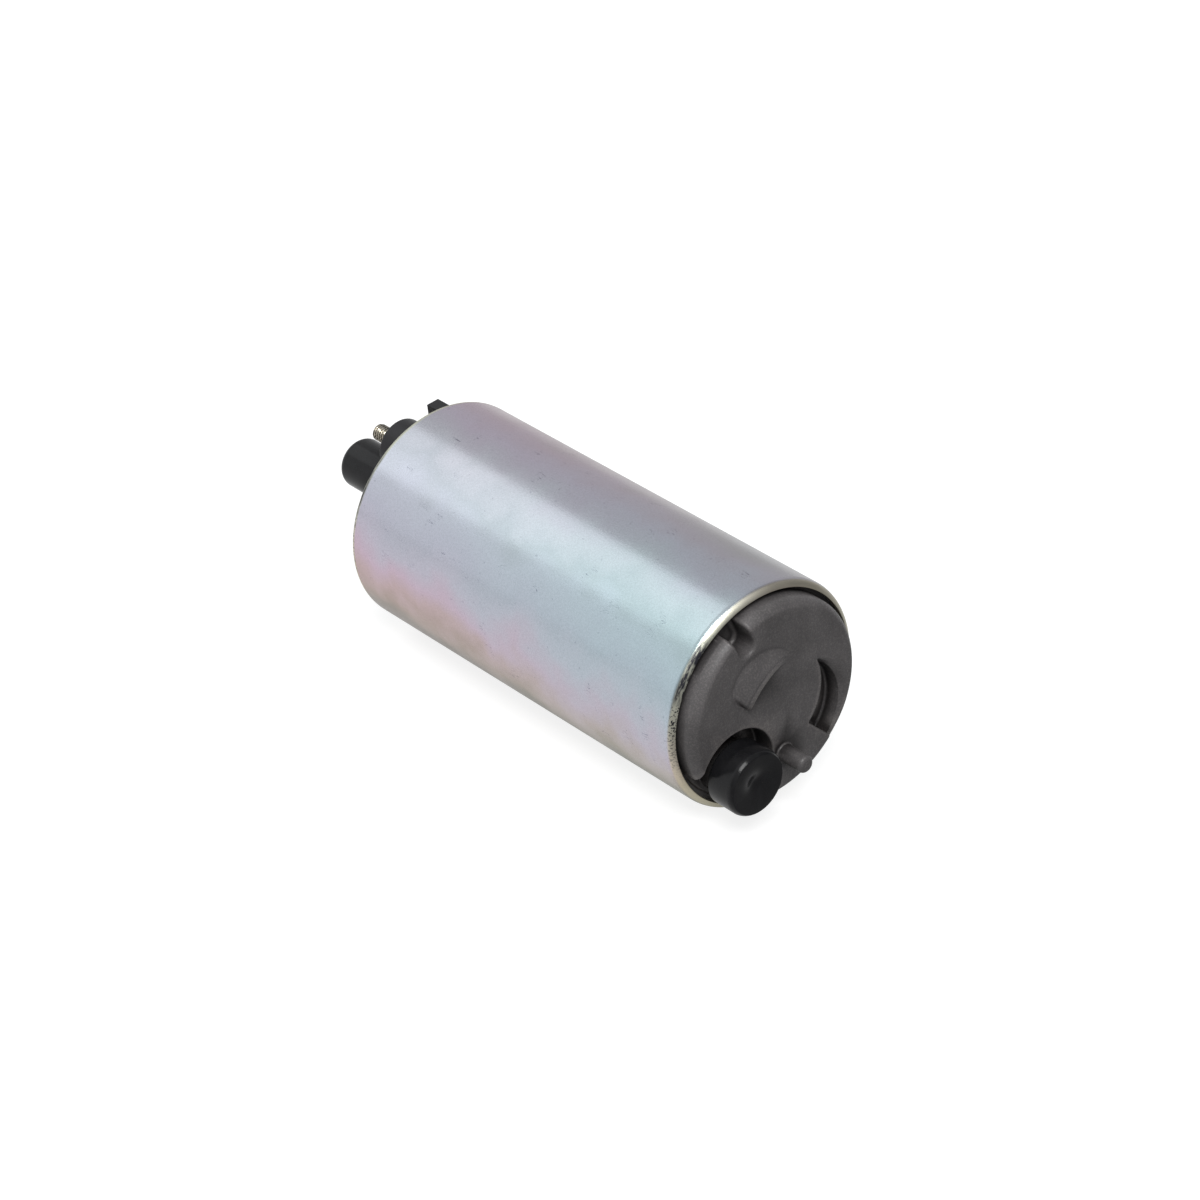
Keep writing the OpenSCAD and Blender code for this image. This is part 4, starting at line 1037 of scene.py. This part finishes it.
    def raised_arc(self, x: np.ndarray, y: np.ndarray, z: np.ndarray) -> np.ndarray:
        """Distance to the ridge.

        It is a slope up to a flat land inside a tilted circle, with a faint crease between
        them, and a plane cuts it off at one end. Its height sinks as the circle does.
        """
        slope, q = self.ridge_slope(x, y, z)
        s, t = self.ridge_place(y, z)
        rise = self.crest_r * math.sin(self.tilt) * (s / np.maximum(np.hypot(s, t), 0.1) - 1)
        crease = 0.16 * np.exp(-((q + 0.1) / 0.3) ** 2)
        ridge = round_max(slope, x - (FACE_X + self.ridge_h + rise) + crease, 0.25)
        ridge = round_max(ridge, -q - self.land, self.crest)
        return np.maximum(round_max(ridge, self.ridge_end(y, z), 0.8), FACE_X - 1.5 - x)

    def foot(self, y: np.ndarray, z: np.ndarray) -> np.ndarray:
        """Depth of the soft groove round the ridge's foot.

        It is a bell curve across the groove, faded inside the crest and where the ridge sinks.
        """
        slope, q = self.ridge_slope(FACE_X, y, z)
        off = round_max(slope / 0.35, self.ridge_end(y, z), 1.6)
        s, t = turned(y, z, self.ridge_turn)
        window = np.clip((64 - np.degrees(np.abs(np.arctan2(t, s)))) / 24, 0, 1)
        return (self.groove * np.exp(-((off - 0.6) / 0.95) ** 2)
                * np.clip((q + 0.6) / 1.2, 0, 1) * window)

    def crescent(self, x: np.ndarray, y: np.ndarray, z: np.ndarray) -> np.ndarray:
        """Distance to the crescent pocket between two circles, flared at the face."""
        flare = 1.2 * np.clip((x - FACE_X + 1.3) / 1.3, 0, 2)
        outer = np.hypot(y - 6.7, z + 6.5) - 12.6 - flare
        _, above = turned(y, z, math.radians(-42))
        ends = round_max(round_max(outer, 13.1 - np.hypot(y, z), 0.35), -above, 0.35)
        return round_max(ends, FACE_X - 5 - x, 0.6)

    def notch(self, x: np.ndarray, y: np.ndarray, z: np.ndarray) -> np.ndarray:
        """Distance to the round-ended notch in the edge."""
        s, t = turned(y, z, math.radians(117))
        flat = np.where(s < 19, np.hypot(s - 19, t), np.abs(t)) - 2.2
        return round_max(flat, self.shoulder_x - 0.1 - x, 1.0)

    def channel(self, x: np.ndarray, y: np.ndarray, z: np.ndarray) -> np.ndarray:
        """Distance to the half-round flow channel, which leaves a sixth of its circle whole."""
        ring = np.hypot(np.hypot(y, z) - self.channel_mid, x - self.inner_x) - self.channel_r
        twelfth = math.radians(30)
        s, t = turned(y, z, math.atan2(INLET[1], INLET[0]) - twelfth)
        wedge = np.abs(t) * math.cos(twelfth) - s * math.sin(twelfth)
        return round_max(ring, -wedge, 0.5)

    def distance(self, x: np.ndarray, y: np.ndarray, z: np.ndarray) -> np.ndarray:
        """Signed distance to the casting's surface.

        Args:
            x: Places along the axis.
            y: Places along Y.
            z: Places along Z.

        Returns:
            Distances in millimetres, negative inside.
        """
        rho, through = np.hypot(y, z), 0 * x
        inlet = rod(y, z, INLET, 0)
        d = round_min(self.turned_body(x, y, z), self.raised_arc(x, y, z), 0.3)
        d = cut(d, round_max(inlet - self.pocket_r, self.pocket_x - x, 0.5), 0.35)
        d = cut(d, self.crescent(x, y, z), 0.4)
        d = cut(d, self.notch(x, y, z), 0.7)
        d = round_min(d, round_max(inlet - self.stub_r, x - self.stub_x, 0.5), 0.3)
        d = cut(d, np.maximum(inlet - self.bore_r, 48.25 - x), 0.25)
        d = cut(d, inlet - self.port_r + through, 0.15)
        peg = round_max(rod(y, z, PEG, self.peg_r), x - self.peg_x, 1.0)
        d = round_min(d, np.maximum(peg, self.shoulder_x - 0.35 - x), 0.5)
        d = cut(d, self.channel(x, y, z), 0.2)
        d = cut(d, np.maximum(self.seal_r - rho, np.abs(x - self.seal_x) - 0.9), 0.12)
        d = cut(d, np.maximum(rho - self.pad_r, x - self.seat_x), 0.12)
        vent = at_angle(math.radians(-30), self.channel_mid)
        d = cut(d, rod(y, z, vent, self.vent_r) + through, 0.15)
        return np.maximum(d, self.inner_x - x)

    def build(self) -> None:
        """Finds the casting's surface and shows it."""
        mesh = cast_mesh("inlet_casting", self.distance, (43.9, -25.4, -25.4),
                         (63.8, 25.4, 25.4), self.pitch, self.kept)
        self.show("inlet_casting", mesh, Body.PUMP, "inlet_cover")


@dataclass
class TransitCap(Assembly):
    """Pushed-on plastic cap, turned from one outline.

    Attributes:
        node: The CAD node that it stands for.
        body: Its body.
        centre: Y and Z of its middle.
        open_x: X of its open end.
        end_x: X of its closed end.
        bore_r: Radius of its bore.
        wall: Thickness of its side.
        end_wall: Thickness of its end.
        turn_r: Radius of the arc that its edge is turned in by.
        turn_in: How far that arc comes in.
        dish: Depth of the dish in its end.
        dimple: Depth of the dimple in the dish.
    """

    node: str = "inlet_cap"
    body: Body = Body.INLET_CAP
    centre: np.ndarray = field(default_factory=lambda: INLET)
    open_x: float = 55.15
    end_x: float = 62.35
    bore_r: float = 5.95
    wall: float = 1.6
    end_wall: float = 2.15
    turn_r: float = 2.0
    turn_in: float = 0.65
    dish: float = 0.45
    dimple: float = 0.85

    def build(self) -> None:
        """Turns the cap.

        Its outline climbs the barrel, turns in by an arc that ends in a small bead, and sinks
        into a shallow dish with a round dimple in its middle, a bell curve.
        """
        way = 1 if self.end_x > self.open_x else -1
        length, barrel = abs(self.end_x - self.open_x), self.bore_r + self.wall
        edge, floor = barrel - self.turn_in, length - self.end_wall
        drop = math.sqrt(self.turn_r ** 2 - (self.turn_r - self.turn_in) ** 2)
        a = np.linspace(0, math.asin(drop / self.turn_r), 12)
        arc = np.stack([length - drop + self.turn_r * np.sin(a),
                        barrel - self.turn_r + self.turn_r * np.cos(a)], -1)
        r = np.linspace(edge - 0.12, 0, 40)
        sag = self.dish * (1 - (r / edge) ** 2) ** 2
        dimple = self.dimple * np.exp(-(r / (0.36 * edge)) ** 2)
        inner = rounded_outline([(floor, 0, 0), (floor, self.bore_r, 0.4), (0, self.bore_r, 0.12),
                                 (0, barrel, 0.3), (length / 2, barrel, 0)], 15)
        outline = np.concatenate([inner, arc, np.stack([length - sag - dimple, r], -1)])
        outline[:, 0] = self.open_x + way * outline[:, 0]
        mesh = revolve(self.node, outline, self.centre, 160, False, 48)
        self.show(self.node + "_moulding", mesh, self.body, self.node)


@dataclass
class TerminalStud(Assembly):
    """Threaded stud with its head inside the end cover and a plain shank through the boss.

    Attributes:
        node: The CAD node that it stands for.
        angle: Its angle about the axis.
        major_d: Diameter of the thread.
        pitch: Pitch of the thread.
        head_r: Radius of the head.
        head_x: X of the head's two faces.
        collar_x: X where the shank ends and the thread begins.
        tip_x: X of the tip.
    """

    node: str = "terminal_stud_positive"
    angle: float = TERMINAL_ANGLE
    major_d: float = 4.0
    pitch: float = 0.7
    head_r: float = 4.0
    head_x: tuple[float, float] = (-45.55, -47.5)
    collar_x: float = -63.25
    tip_x: float = -70.95

    def thread(self, x: np.ndarray, r: np.ndarray, a: np.ndarray) -> np.ndarray:
        """Distance from the stud's line.

        Beyond the collar it falls from the crests into a groove that climbs one pitch a turn,
        fades in over half a pitch, and is cut by the tip's chamfer.

        Args:
            x: Places along the stud.
            r: Distances before the thread is cut.
            a: Angles round it.

        Returns:
            Distances with the thread.
        """
        turn = np.mod((x - self.collar_x) / self.pitch - a / TURN, 1)
        groove = np.clip((1 - 2 * np.abs(turn - 0.5)) * 1.35 - 0.17, 0, 1)
        fade = np.clip((self.collar_x - 0.15 - x) / (self.pitch / 2), 0, 1)
        cut_r = np.minimum(r, r - 0.58 * self.pitch * groove * fade)
        tip = np.minimum(cut_r, self.major_d / 2 - 0.4 + (x - self.tip_x))
        return np.where((x < self.collar_x) & (r > 0), tip, r)

    def build(self) -> None:
        """Turns the stud."""
        r, shank = self.major_d / 2, self.major_d / 2 + 0.5
        (inner, outer), collar = self.head_x, self.collar_x
        head = rounded_outline([
            (inner, 0, 0), (inner, self.head_r, 0.3), (outer, self.head_r, 0.12),
            (outer, shank, 0), (collar, shank, 0.15), (collar, r, 0)], 15)
        x = np.linspace(collar - 0.01, self.tip_x, 140)
        outline = np.concatenate([head, np.stack([x, np.full_like(x, r)], -1), [[self.tip_x, 0]]])
        mesh = revolve(self.node, outline, at_angle(self.angle, TERMINAL_OFFSET), 64, False, 40,
                       self.thread)
        self.show(self.node + "_thread", mesh, Body.PUMP, self.node)


@dataclass
class Spring(Assembly):
    """Compression spring between a body that slides and a fixed seat.

    Attributes:
        node: The CAD node that it stands for.
        joint: The joint that presses it together; not used.
        along: Number of the axis that it lies along.
        centre: Place of its line.
        coil_r: Radius of its coils.
        wire_r: Radius of its wire.
        turns: Number of turns.
        seat: Place of its fixed end along the axis; not used.
        travel: How far the joint presses its other end; not used.
    """

    node: str
    joint: str
    along: int
    centre: Triple
    coil_r: float
    wire_r: float
    turns: float
    seat: float
    travel: float

    def build(self) -> None:
        """Winds the spring within its node's length."""
        low, high = (corner[self.along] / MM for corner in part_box(self.node))
        route = np.roll(coil(low + self.wire_r, high - self.wire_r, self.coil_r, self.turns),
                        self.along, axis=1) + np.array(self.centre)
        axis = np.eye(3)[self.along]
        mesh = joined(self.node, tube_grid(route, self.wire_r, 10, tuple(axis)))
        piece = self.show(self.node + "_coils", mesh, Body.PUMP, self.node)
        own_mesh(piece)


@dataclass
class Feed(Assembly):
    """Choke coil and stranded brush lead of one pole.

    Attributes:
        side: Left or right, the end of the nodes' names.
        brush: The body of the brush; not used.
        joint_y: Side of the brush, -1 or 1 along Y.
        choke_angle: Angle of the left choke about the axis.
        choke_offset: Distance of the chokes from the axis.
        coil_r: Radius of the choke's turns.
        wire_r: Radius of its wire.
        turns: Number of its turns.
        coil_x: X of its two ends.
        lead_r: Radius of the lead.
        strand_count: Number of strands round the lead.
        lay: Length of the lead in which a strand goes once round it.
    """

    side: str
    brush: Body
    joint_y: int
    choke_angle: float = math.radians(135)
    choke_offset: float = 15.5
    coil_r: float = 2.5
    wire_r: float = 0.4
    turns: int = 12
    coil_x: tuple[float, float] = (-33.35, -45.95)
    lead_r: float = 0.55
    strand_count: int = 6
    lay: float = 9.0

    def placed(self, route: np.ndarray, angle: float, offset: float) -> np.ndarray:
        """Places a route at an angle and offset from the axis.

        Args:
            route: Points given as x, outwards and across.
            angle: Angle about the axis.
            offset: Distance added outwards.

        Returns:
            Points as x, y and z.
        """
        c, s = math.cos(angle), math.sin(angle)
        x, out, across = route[:, 0], route[:, 1] + offset, route[:, 2]
        return np.stack([x, out * c - across * s, out * s + across * c], -1)

    def choke(self) -> None:
        """Winds the choke, with its tail led to the terminal's head."""
        angle = self.choke_angle + (0 if self.side == "left" else math.pi)
        head = at_angle(TERMINAL_ANGLE - self.choke_angle, TERMINAL_OFFSET) - (self.choke_offset, 0)
        reach = head * (1 - (4 + self.wire_r + 0.05) / np.linalg.norm(head))
        wound = coil(*self.coil_x, self.coil_r, self.turns, 0.8, -1)
        low = self.coil_x[1]
        tail = smooth_route([(low, self.coil_r, 0.25), (low - 0.15, self.coil_r + 0.25, -0.8),
                             (low - 0.35, *(reach * 0.45 + (1.2, -0.5))), (low - 0.6, *reach)], 8)
        route = self.placed(np.concatenate([wound[:-2], tail[4:]]), angle, self.choke_offset)
        node = "choke_coil_" + self.side
        mesh = joined(node, tube_grid(route, self.wire_r, 10))
        self.show(node + "_winding", mesh, Body.PUMP, node)

    def lead(self) -> None:
        """Lays the stranded lead from the brush to the choke.

        Its radius swells and sinks as a cosine of the strands' number times the angle round it,
        and the strands go once round in each lay.
        """
        angle, node, sides = 0 if self.joint_y > 0 else math.pi, "brush_lead_" + self.side, 36
        low, high = (corner[0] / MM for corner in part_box(node))
        turn = self.choke_angle - math.pi
        stop = self.choke_offset - self.coil_r - self.wire_r - self.lead_r
        end = stop * math.cos(turn), stop * math.sin(turn)
        route = smooth_route([
            (high - self.lead_r, 13.9, 0), (-27.7, 13.9, 0), (-30.75, 13.8, -0.5),
            (-31.35, 13.5, -2.6), (-31.95, end[0] + 1.6, end[1] + 2.2),
            (low + self.lead_r, *end)], 24)
        lengths = np.linalg.norm(np.diff(route, axis=0), axis=1)
        gone = np.concatenate([[0], np.cumsum(lengths)])[:, None]
        round_it = np.arange(sides) * TURN / sides
        strands = np.cos(self.strand_count * (round_it - gone * TURN / self.lay))
        grid = tube_grid(self.placed(route, angle, 0.0), self.lead_r * (0.9 + 0.1 * strands),
                         sides, (0.1, 0.2, 1.0))
        mesh = joined("lead_" + self.side, grid)
        piece = self.show(node + "_strands", mesh, None, node)
        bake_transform(piece)

    def build(self) -> None:
        """Makes the choke's winding and the lead."""
        self.choke()
        self.lead()


@dataclass
class Windings(Assembly):
    """Enamelled wire of the armature: bundles in slots, end turns and the tails to the bars.

    Attributes:
        slots: Number of slots.
        tooth: Width of a tooth.
        inner_r: Least radius that wire takes up.
        outer_r: Greatest radius that wire takes up.
        core_x: The two ends of the core.
        end_turn: How far the end turns stand out.
        wire_r: Radius of the wire.
        row: Distance between two rows of wires.
        beside: Distance between two wires of a row.
        tail: Distance of the tails from the axis, their radius, and X of the bars' ends.
    """

    slots: int = 8
    tooth: float = 4.4
    inner_r: float = 7.65
    outer_r: float = 14.95
    core_x: tuple[float, float] = (-10.55, 27.45)
    end_turn: float = 3.6
    wire_r: float = 0.42
    row: float = 0.86
    beside: float = 0.88
    tail: Triple = (9.0, 0.45, -15.5)

    def bundle(self) -> list[np.ndarray]:
        """Straight wires of one slot, in rows as wide as the slot is at their radius."""
        wires = []
        ends = np.array([self.core_x[0] - 1.5, self.core_x[1] + 1.5])
        for r in np.arange(self.outer_r - self.wire_r, self.inner_r + self.wire_r, -self.row):
            half = r * math.sin(math.pi / self.slots) - self.tooth / 2 - 0.25 - self.wire_r
            count = max(1, int(half * 2 / self.beside) + 1)
            for across in (np.arange(count) - (count - 1) / 2) * self.beside:
                out = math.sqrt(r * r - across * across)
                wires.append(np.stack([ends, np.full(2, out), np.full(2, across)], -1))
        return wires

    def wound_ring(self, low: float, high: float) -> Grid:
        """End turns: a rounded ring whose surface is ridged by wires that run slantwise over it.

        The section is a circle pressed square by a fifth power, and each point stands proud of
        it by the height of a half circle that repeats 72 times round the ring and slants by a
        fifth of a turn from the inside to the outside.

        Args:
            low: X of its one end.
            high: X of its other end.

        Returns:
            The points, and the corner numbers of the faces.
        """
        rows, columns = 44, 504
        q, a = np.arange(rows)[:, None] * TURN / rows, np.arange(columns)[None] * TURN / columns
        c, s = np.cos(q), np.sin(q)
        square = (np.abs(c) ** 5 + np.abs(s) ** 5) ** (-1 / 5)
        phase = 72 * (a / TURN + 0.2 * np.cos(q))
        ridge = np.sqrt(np.maximum(1 - (2 * np.mod(phase, 1) - 1) ** 2, 0)) * 0.32 - 0.32
        middle_r, half_r = (self.inner_r + self.outer_r) / 2, (self.outer_r - self.inner_r) / 2
        r = middle_r + (half_r + ridge) * c * square
        x = (low + high) / 2 + ((high - low) / 2 + ridge) * s * square + 0 * a
        points = np.stack([x, r * np.cos(a), r * np.sin(a)], -1).reshape(-1, 3)
        return points, grid_faces(rows, columns, True, True)

    def build(self) -> None:
        """Joins the bundles, the two wound rings and the tails into one piece."""
        parts, up = [], (0.0, 0.3, 1.0)
        tail_at, tail_r, bars_x = self.tail
        for i in range(self.slots):
            angle = (i + 0.5) * TURN / self.slots
            turn = np.array([[1, 0, 0], [0, math.cos(angle), -math.sin(angle)],
                             [0, math.sin(angle), math.cos(angle)]])
            parts += [tube_grid(wire @ turn.T, self.wire_r, 8, up) for wire in self.bundle()]
            tail = np.array([[self.core_x[0] - 2.6, tail_at, 0], [bars_x + tail_r, tail_at, 0]])
            parts.append(tube_grid(tail @ turn.T, tail_r, 12, up))
        parts += [self.wound_ring(self.core_x[1] + 0.25, self.core_x[1] + self.end_turn),
                  self.wound_ring(self.core_x[0] - self.end_turn, self.core_x[0] - 0.25)]
        mesh = joined("armature_wire", *parts, sharp_deg=50)
        self.show("armature_wire", mesh, Body.ROTOR, "armature_windings")


# ---- stage


@dataclass
class Studio:
    """Floor, lights and camera.

    Attributes:
        floor_z: Height of the floor.
        floor_change: X in metres between which the floor's reflection changes.
        azimuth_deg: The camera's azimuth.
        elevation_deg: Its elevation.
        distance: Its distance from the origin along its view.
        offset: How far it stands to the right and up.
        lens_mm: Focal length for a 36 mm sensor.
    """

    floor_z: float = -CASE_R
    floor_change: tuple[float, float] = (0.056, 0.075)
    azimuth_deg: float = 48.847
    elevation_deg: float = 30.628
    distance: float = 819.87
    offset: tuple[float, float] = (0.765, -0.254)
    lens_mm: float = 113.99

    def camera(self) -> None:
        """Sets the camera at the photograph's viewing angle."""
        a, e = math.radians(self.azimuth_deg), math.radians(self.elevation_deg)
        back = Vector((math.sin(a) * math.cos(e), -math.cos(a) * math.cos(e), math.sin(e)))
        right = Vector((math.cos(a), math.sin(a), 0))
        up = back.cross(right)
        data = bpy.data.cameras.new("camera")
        data.lens, data.sensor_width = self.lens_mm, 36.0
        data.clip_start, data.clip_end = 0.05, 50.0
        eye = bpy.data.objects.new("camera", data)
        place = back * self.distance + right * self.offset[0] + up * self.offset[1]
        turn = Matrix((right, up, back)).transposed().to_4x4()
        eye.matrix_world = Matrix.Translation(place * MM) @ turn
        bpy.context.scene.collection.objects.link(eye)
        bpy.context.scene.camera = eye

    def floor(self) -> None:
        """Lays a pale floor, white to the camera but for the pump's shadow.

        It is a little paler in reflections behind the inlet cover than ahead of it.
        """
        half = 3000.0
        corners = np.array([[-1, -1], [1, -1], [1, 1], [-1, 1]]) * half
        points = np.column_stack([corners, np.full(4, self.floor_z - 0.02)])
        plane = new_object("floor", new_mesh("floor", points, np.array([[0, 1, 2, 3]])))
        n = Nodes(bpy.data.materials.new("floor"))
        path = n.add("ShaderNodeLightPath")
        glossy = path.outputs["Is Glossy Ray"]
        x, _, _ = n.split()
        ahead = n.steps(x, *self.floor_change)
        glow = n.add("ShaderNodeEmission")
        n.put(n.plus(n.times(path.outputs["Is Camera Ray"], 0.8),
                     n.times(glossy, n.steps(x, *self.floor_change, 0.38, 0.16))),
              glow.inputs["Strength"])
        matt = n.add("ShaderNodeBsdfDiffuse")
        n.put(n.grey(n.times(ahead, glossy), 0.33, 0.1), matt.inputs["Color"])
        both = n.add("ShaderNodeAddShader")
        n.put(glow.outputs[0], both.inputs[0])
        n.put(matt.outputs[0], both.inputs[1])
        n.put(both.outputs[0], n.add("ShaderNodeOutputMaterial").inputs["Surface"])
        plane.data.materials.append(n.owner)

    def world(self) -> None:
        """White to the camera, and to the pump a room.

        The room is palest at the pump's left, dims towards the back and the front, and has one
        broad soft light ahead of the inlet cover and above it.
        """
        world = bpy.data.worlds.new("room")
        bpy.context.scene.world = world
        n = Nodes(world, "Generated")
        left = n.steps(n.along((0.05, -0.80, -0.35)), -0.8, 0.3, 0.56, 0.82)
        ahead = n.steps(n.along((1, 0, 0)), -0.35, 0.2, 1.0, 0.2)
        glow = n.steps(n.along((0.55, -0.30, 0.75)), 0.35, 0.9, 0.0, 0.3)
        room, white = n.add("ShaderNodeBackground"), n.add("ShaderNodeBackground")
        n.put(n.plus(n.times(left, ahead), glow), room.inputs["Strength"])
        n.put((0.98, 0.99, 1.0), room.inputs["Color"])
        n.put((1.0, 1.0, 1.0), white.inputs["Color"])
        mix = n.add("ShaderNodeMixShader")
        n.put(n.add("ShaderNodeLightPath").outputs["Is Camera Ray"], mix.inputs[0])
        n.put(room.outputs[0], mix.inputs[1])
        n.put(white.outputs[0], mix.inputs[2])
        n.put(mix.outputs[0], n.add("ShaderNodeOutputWorld").inputs["Surface"])

    def lamp(self, name: str, direction: Triple, distance: float,
             size: tuple[float, float], watts: float, colour: Colour = (1, 1, 1)) -> None:
        """Adds a soft rectangular lamp that faces the pump.

        Its first side lies as near to X as it can.

        Args:
            name: Name of the lamp.
            direction: Direction from the pump to the lamp.
            distance: Distance in metres.
            size: Width and height in metres.
            watts: Power.
            colour: Colour of its light.
        """
        data = bpy.data.lights.new(name, "AREA")
        data.shape, data.size, data.size_y = "RECTANGLE", *size
        data.energy, data.color = watts, colour
        lamp = bpy.data.objects.new(name, data)
        towards = Vector(direction).normalized()
        across = towards.cross(Vector((1, 0, 0))).normalized()
        turn = Matrix((across.cross(towards), across, towards)).transposed().to_4x4()
        lamp.matrix_world = Matrix.Translation(towards * distance) @ turn
        bpy.context.scene.collection.objects.link(lamp)

    def build(self) -> None:
        """Sets up the whole stage."""
        bpy.context.scene.view_settings.view_transform = "Standard"
        self.camera()
        self.floor()
        self.world()
        self.lamp("softbox", (-0.65, -0.22, 0.72), 1.1, (0.6, 0.8), 0.75, (0.96, 0.99, 1.0))
        self.lamp("key", (0.44, -0.36, 0.82), 1.6, (1.0, 0.8), 22.0)


def dress_nodes(finish: dict[str, bpy.types.Material]) -> None:
    """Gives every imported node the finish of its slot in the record.

    Args:
        finish: Every finish by its slot's name.
    """
    for part in frame["record"]["subparts"]:
        node = frame["nodes"][part["node"]]
        node.data.materials.clear()
        node.data.materials.append(finish[part["material_slot"]])


def main() -> None:
    """Builds the stage and the pump."""
    logging.basicConfig(level=logging.INFO, format="%(name)s: %(message)s")
    bpy.context.view_layer.update()
    Studio().build()
    finish = finishes()
    dress_nodes(finish)
    Shell(finish).build()
    Casting(finish).build()
    TransitCap(finish).build()
    TransitCap(finish, "outlet_cap", Body.OUTLET_CAP, np.zeros(2), -68.75, -82.75, 4.35).build()
    TerminalStud(finish).build()
    TerminalStud(finish, "terminal_stud_negative", TERMINAL_ANGLE + math.pi, 5.0, 0.8).build()
    for side, brush, way in (("left", Body.BRUSH_LEFT, -1), ("right", Body.BRUSH_RIGHT, 1)):
        Spring(finish, f"brush_spring_{side}", f"brush_{side}_slide", 1, (-22.95, 0, 0),
               1.9, 0.3, 4, way * 22.94, 2.0).build()
        Feed(finish, side, brush, way).build()
    Spring(finish, "check_valve_spring", "check_valve_lift", 0, (0, 0, 0),
           2.5, 0.35, 6, -65.25, 3.0).build()
    Spring(finish, "relief_spring", "relief_valve_lift", 0,
           (0, *at_angle(math.radians(-10), 14)), 1.9, 0.3, 3.5, -52.25, 1.5).build()
    Windings(finish).build()
    bpy.context.view_layer.update()


if __name__ == "__main__":
    main()
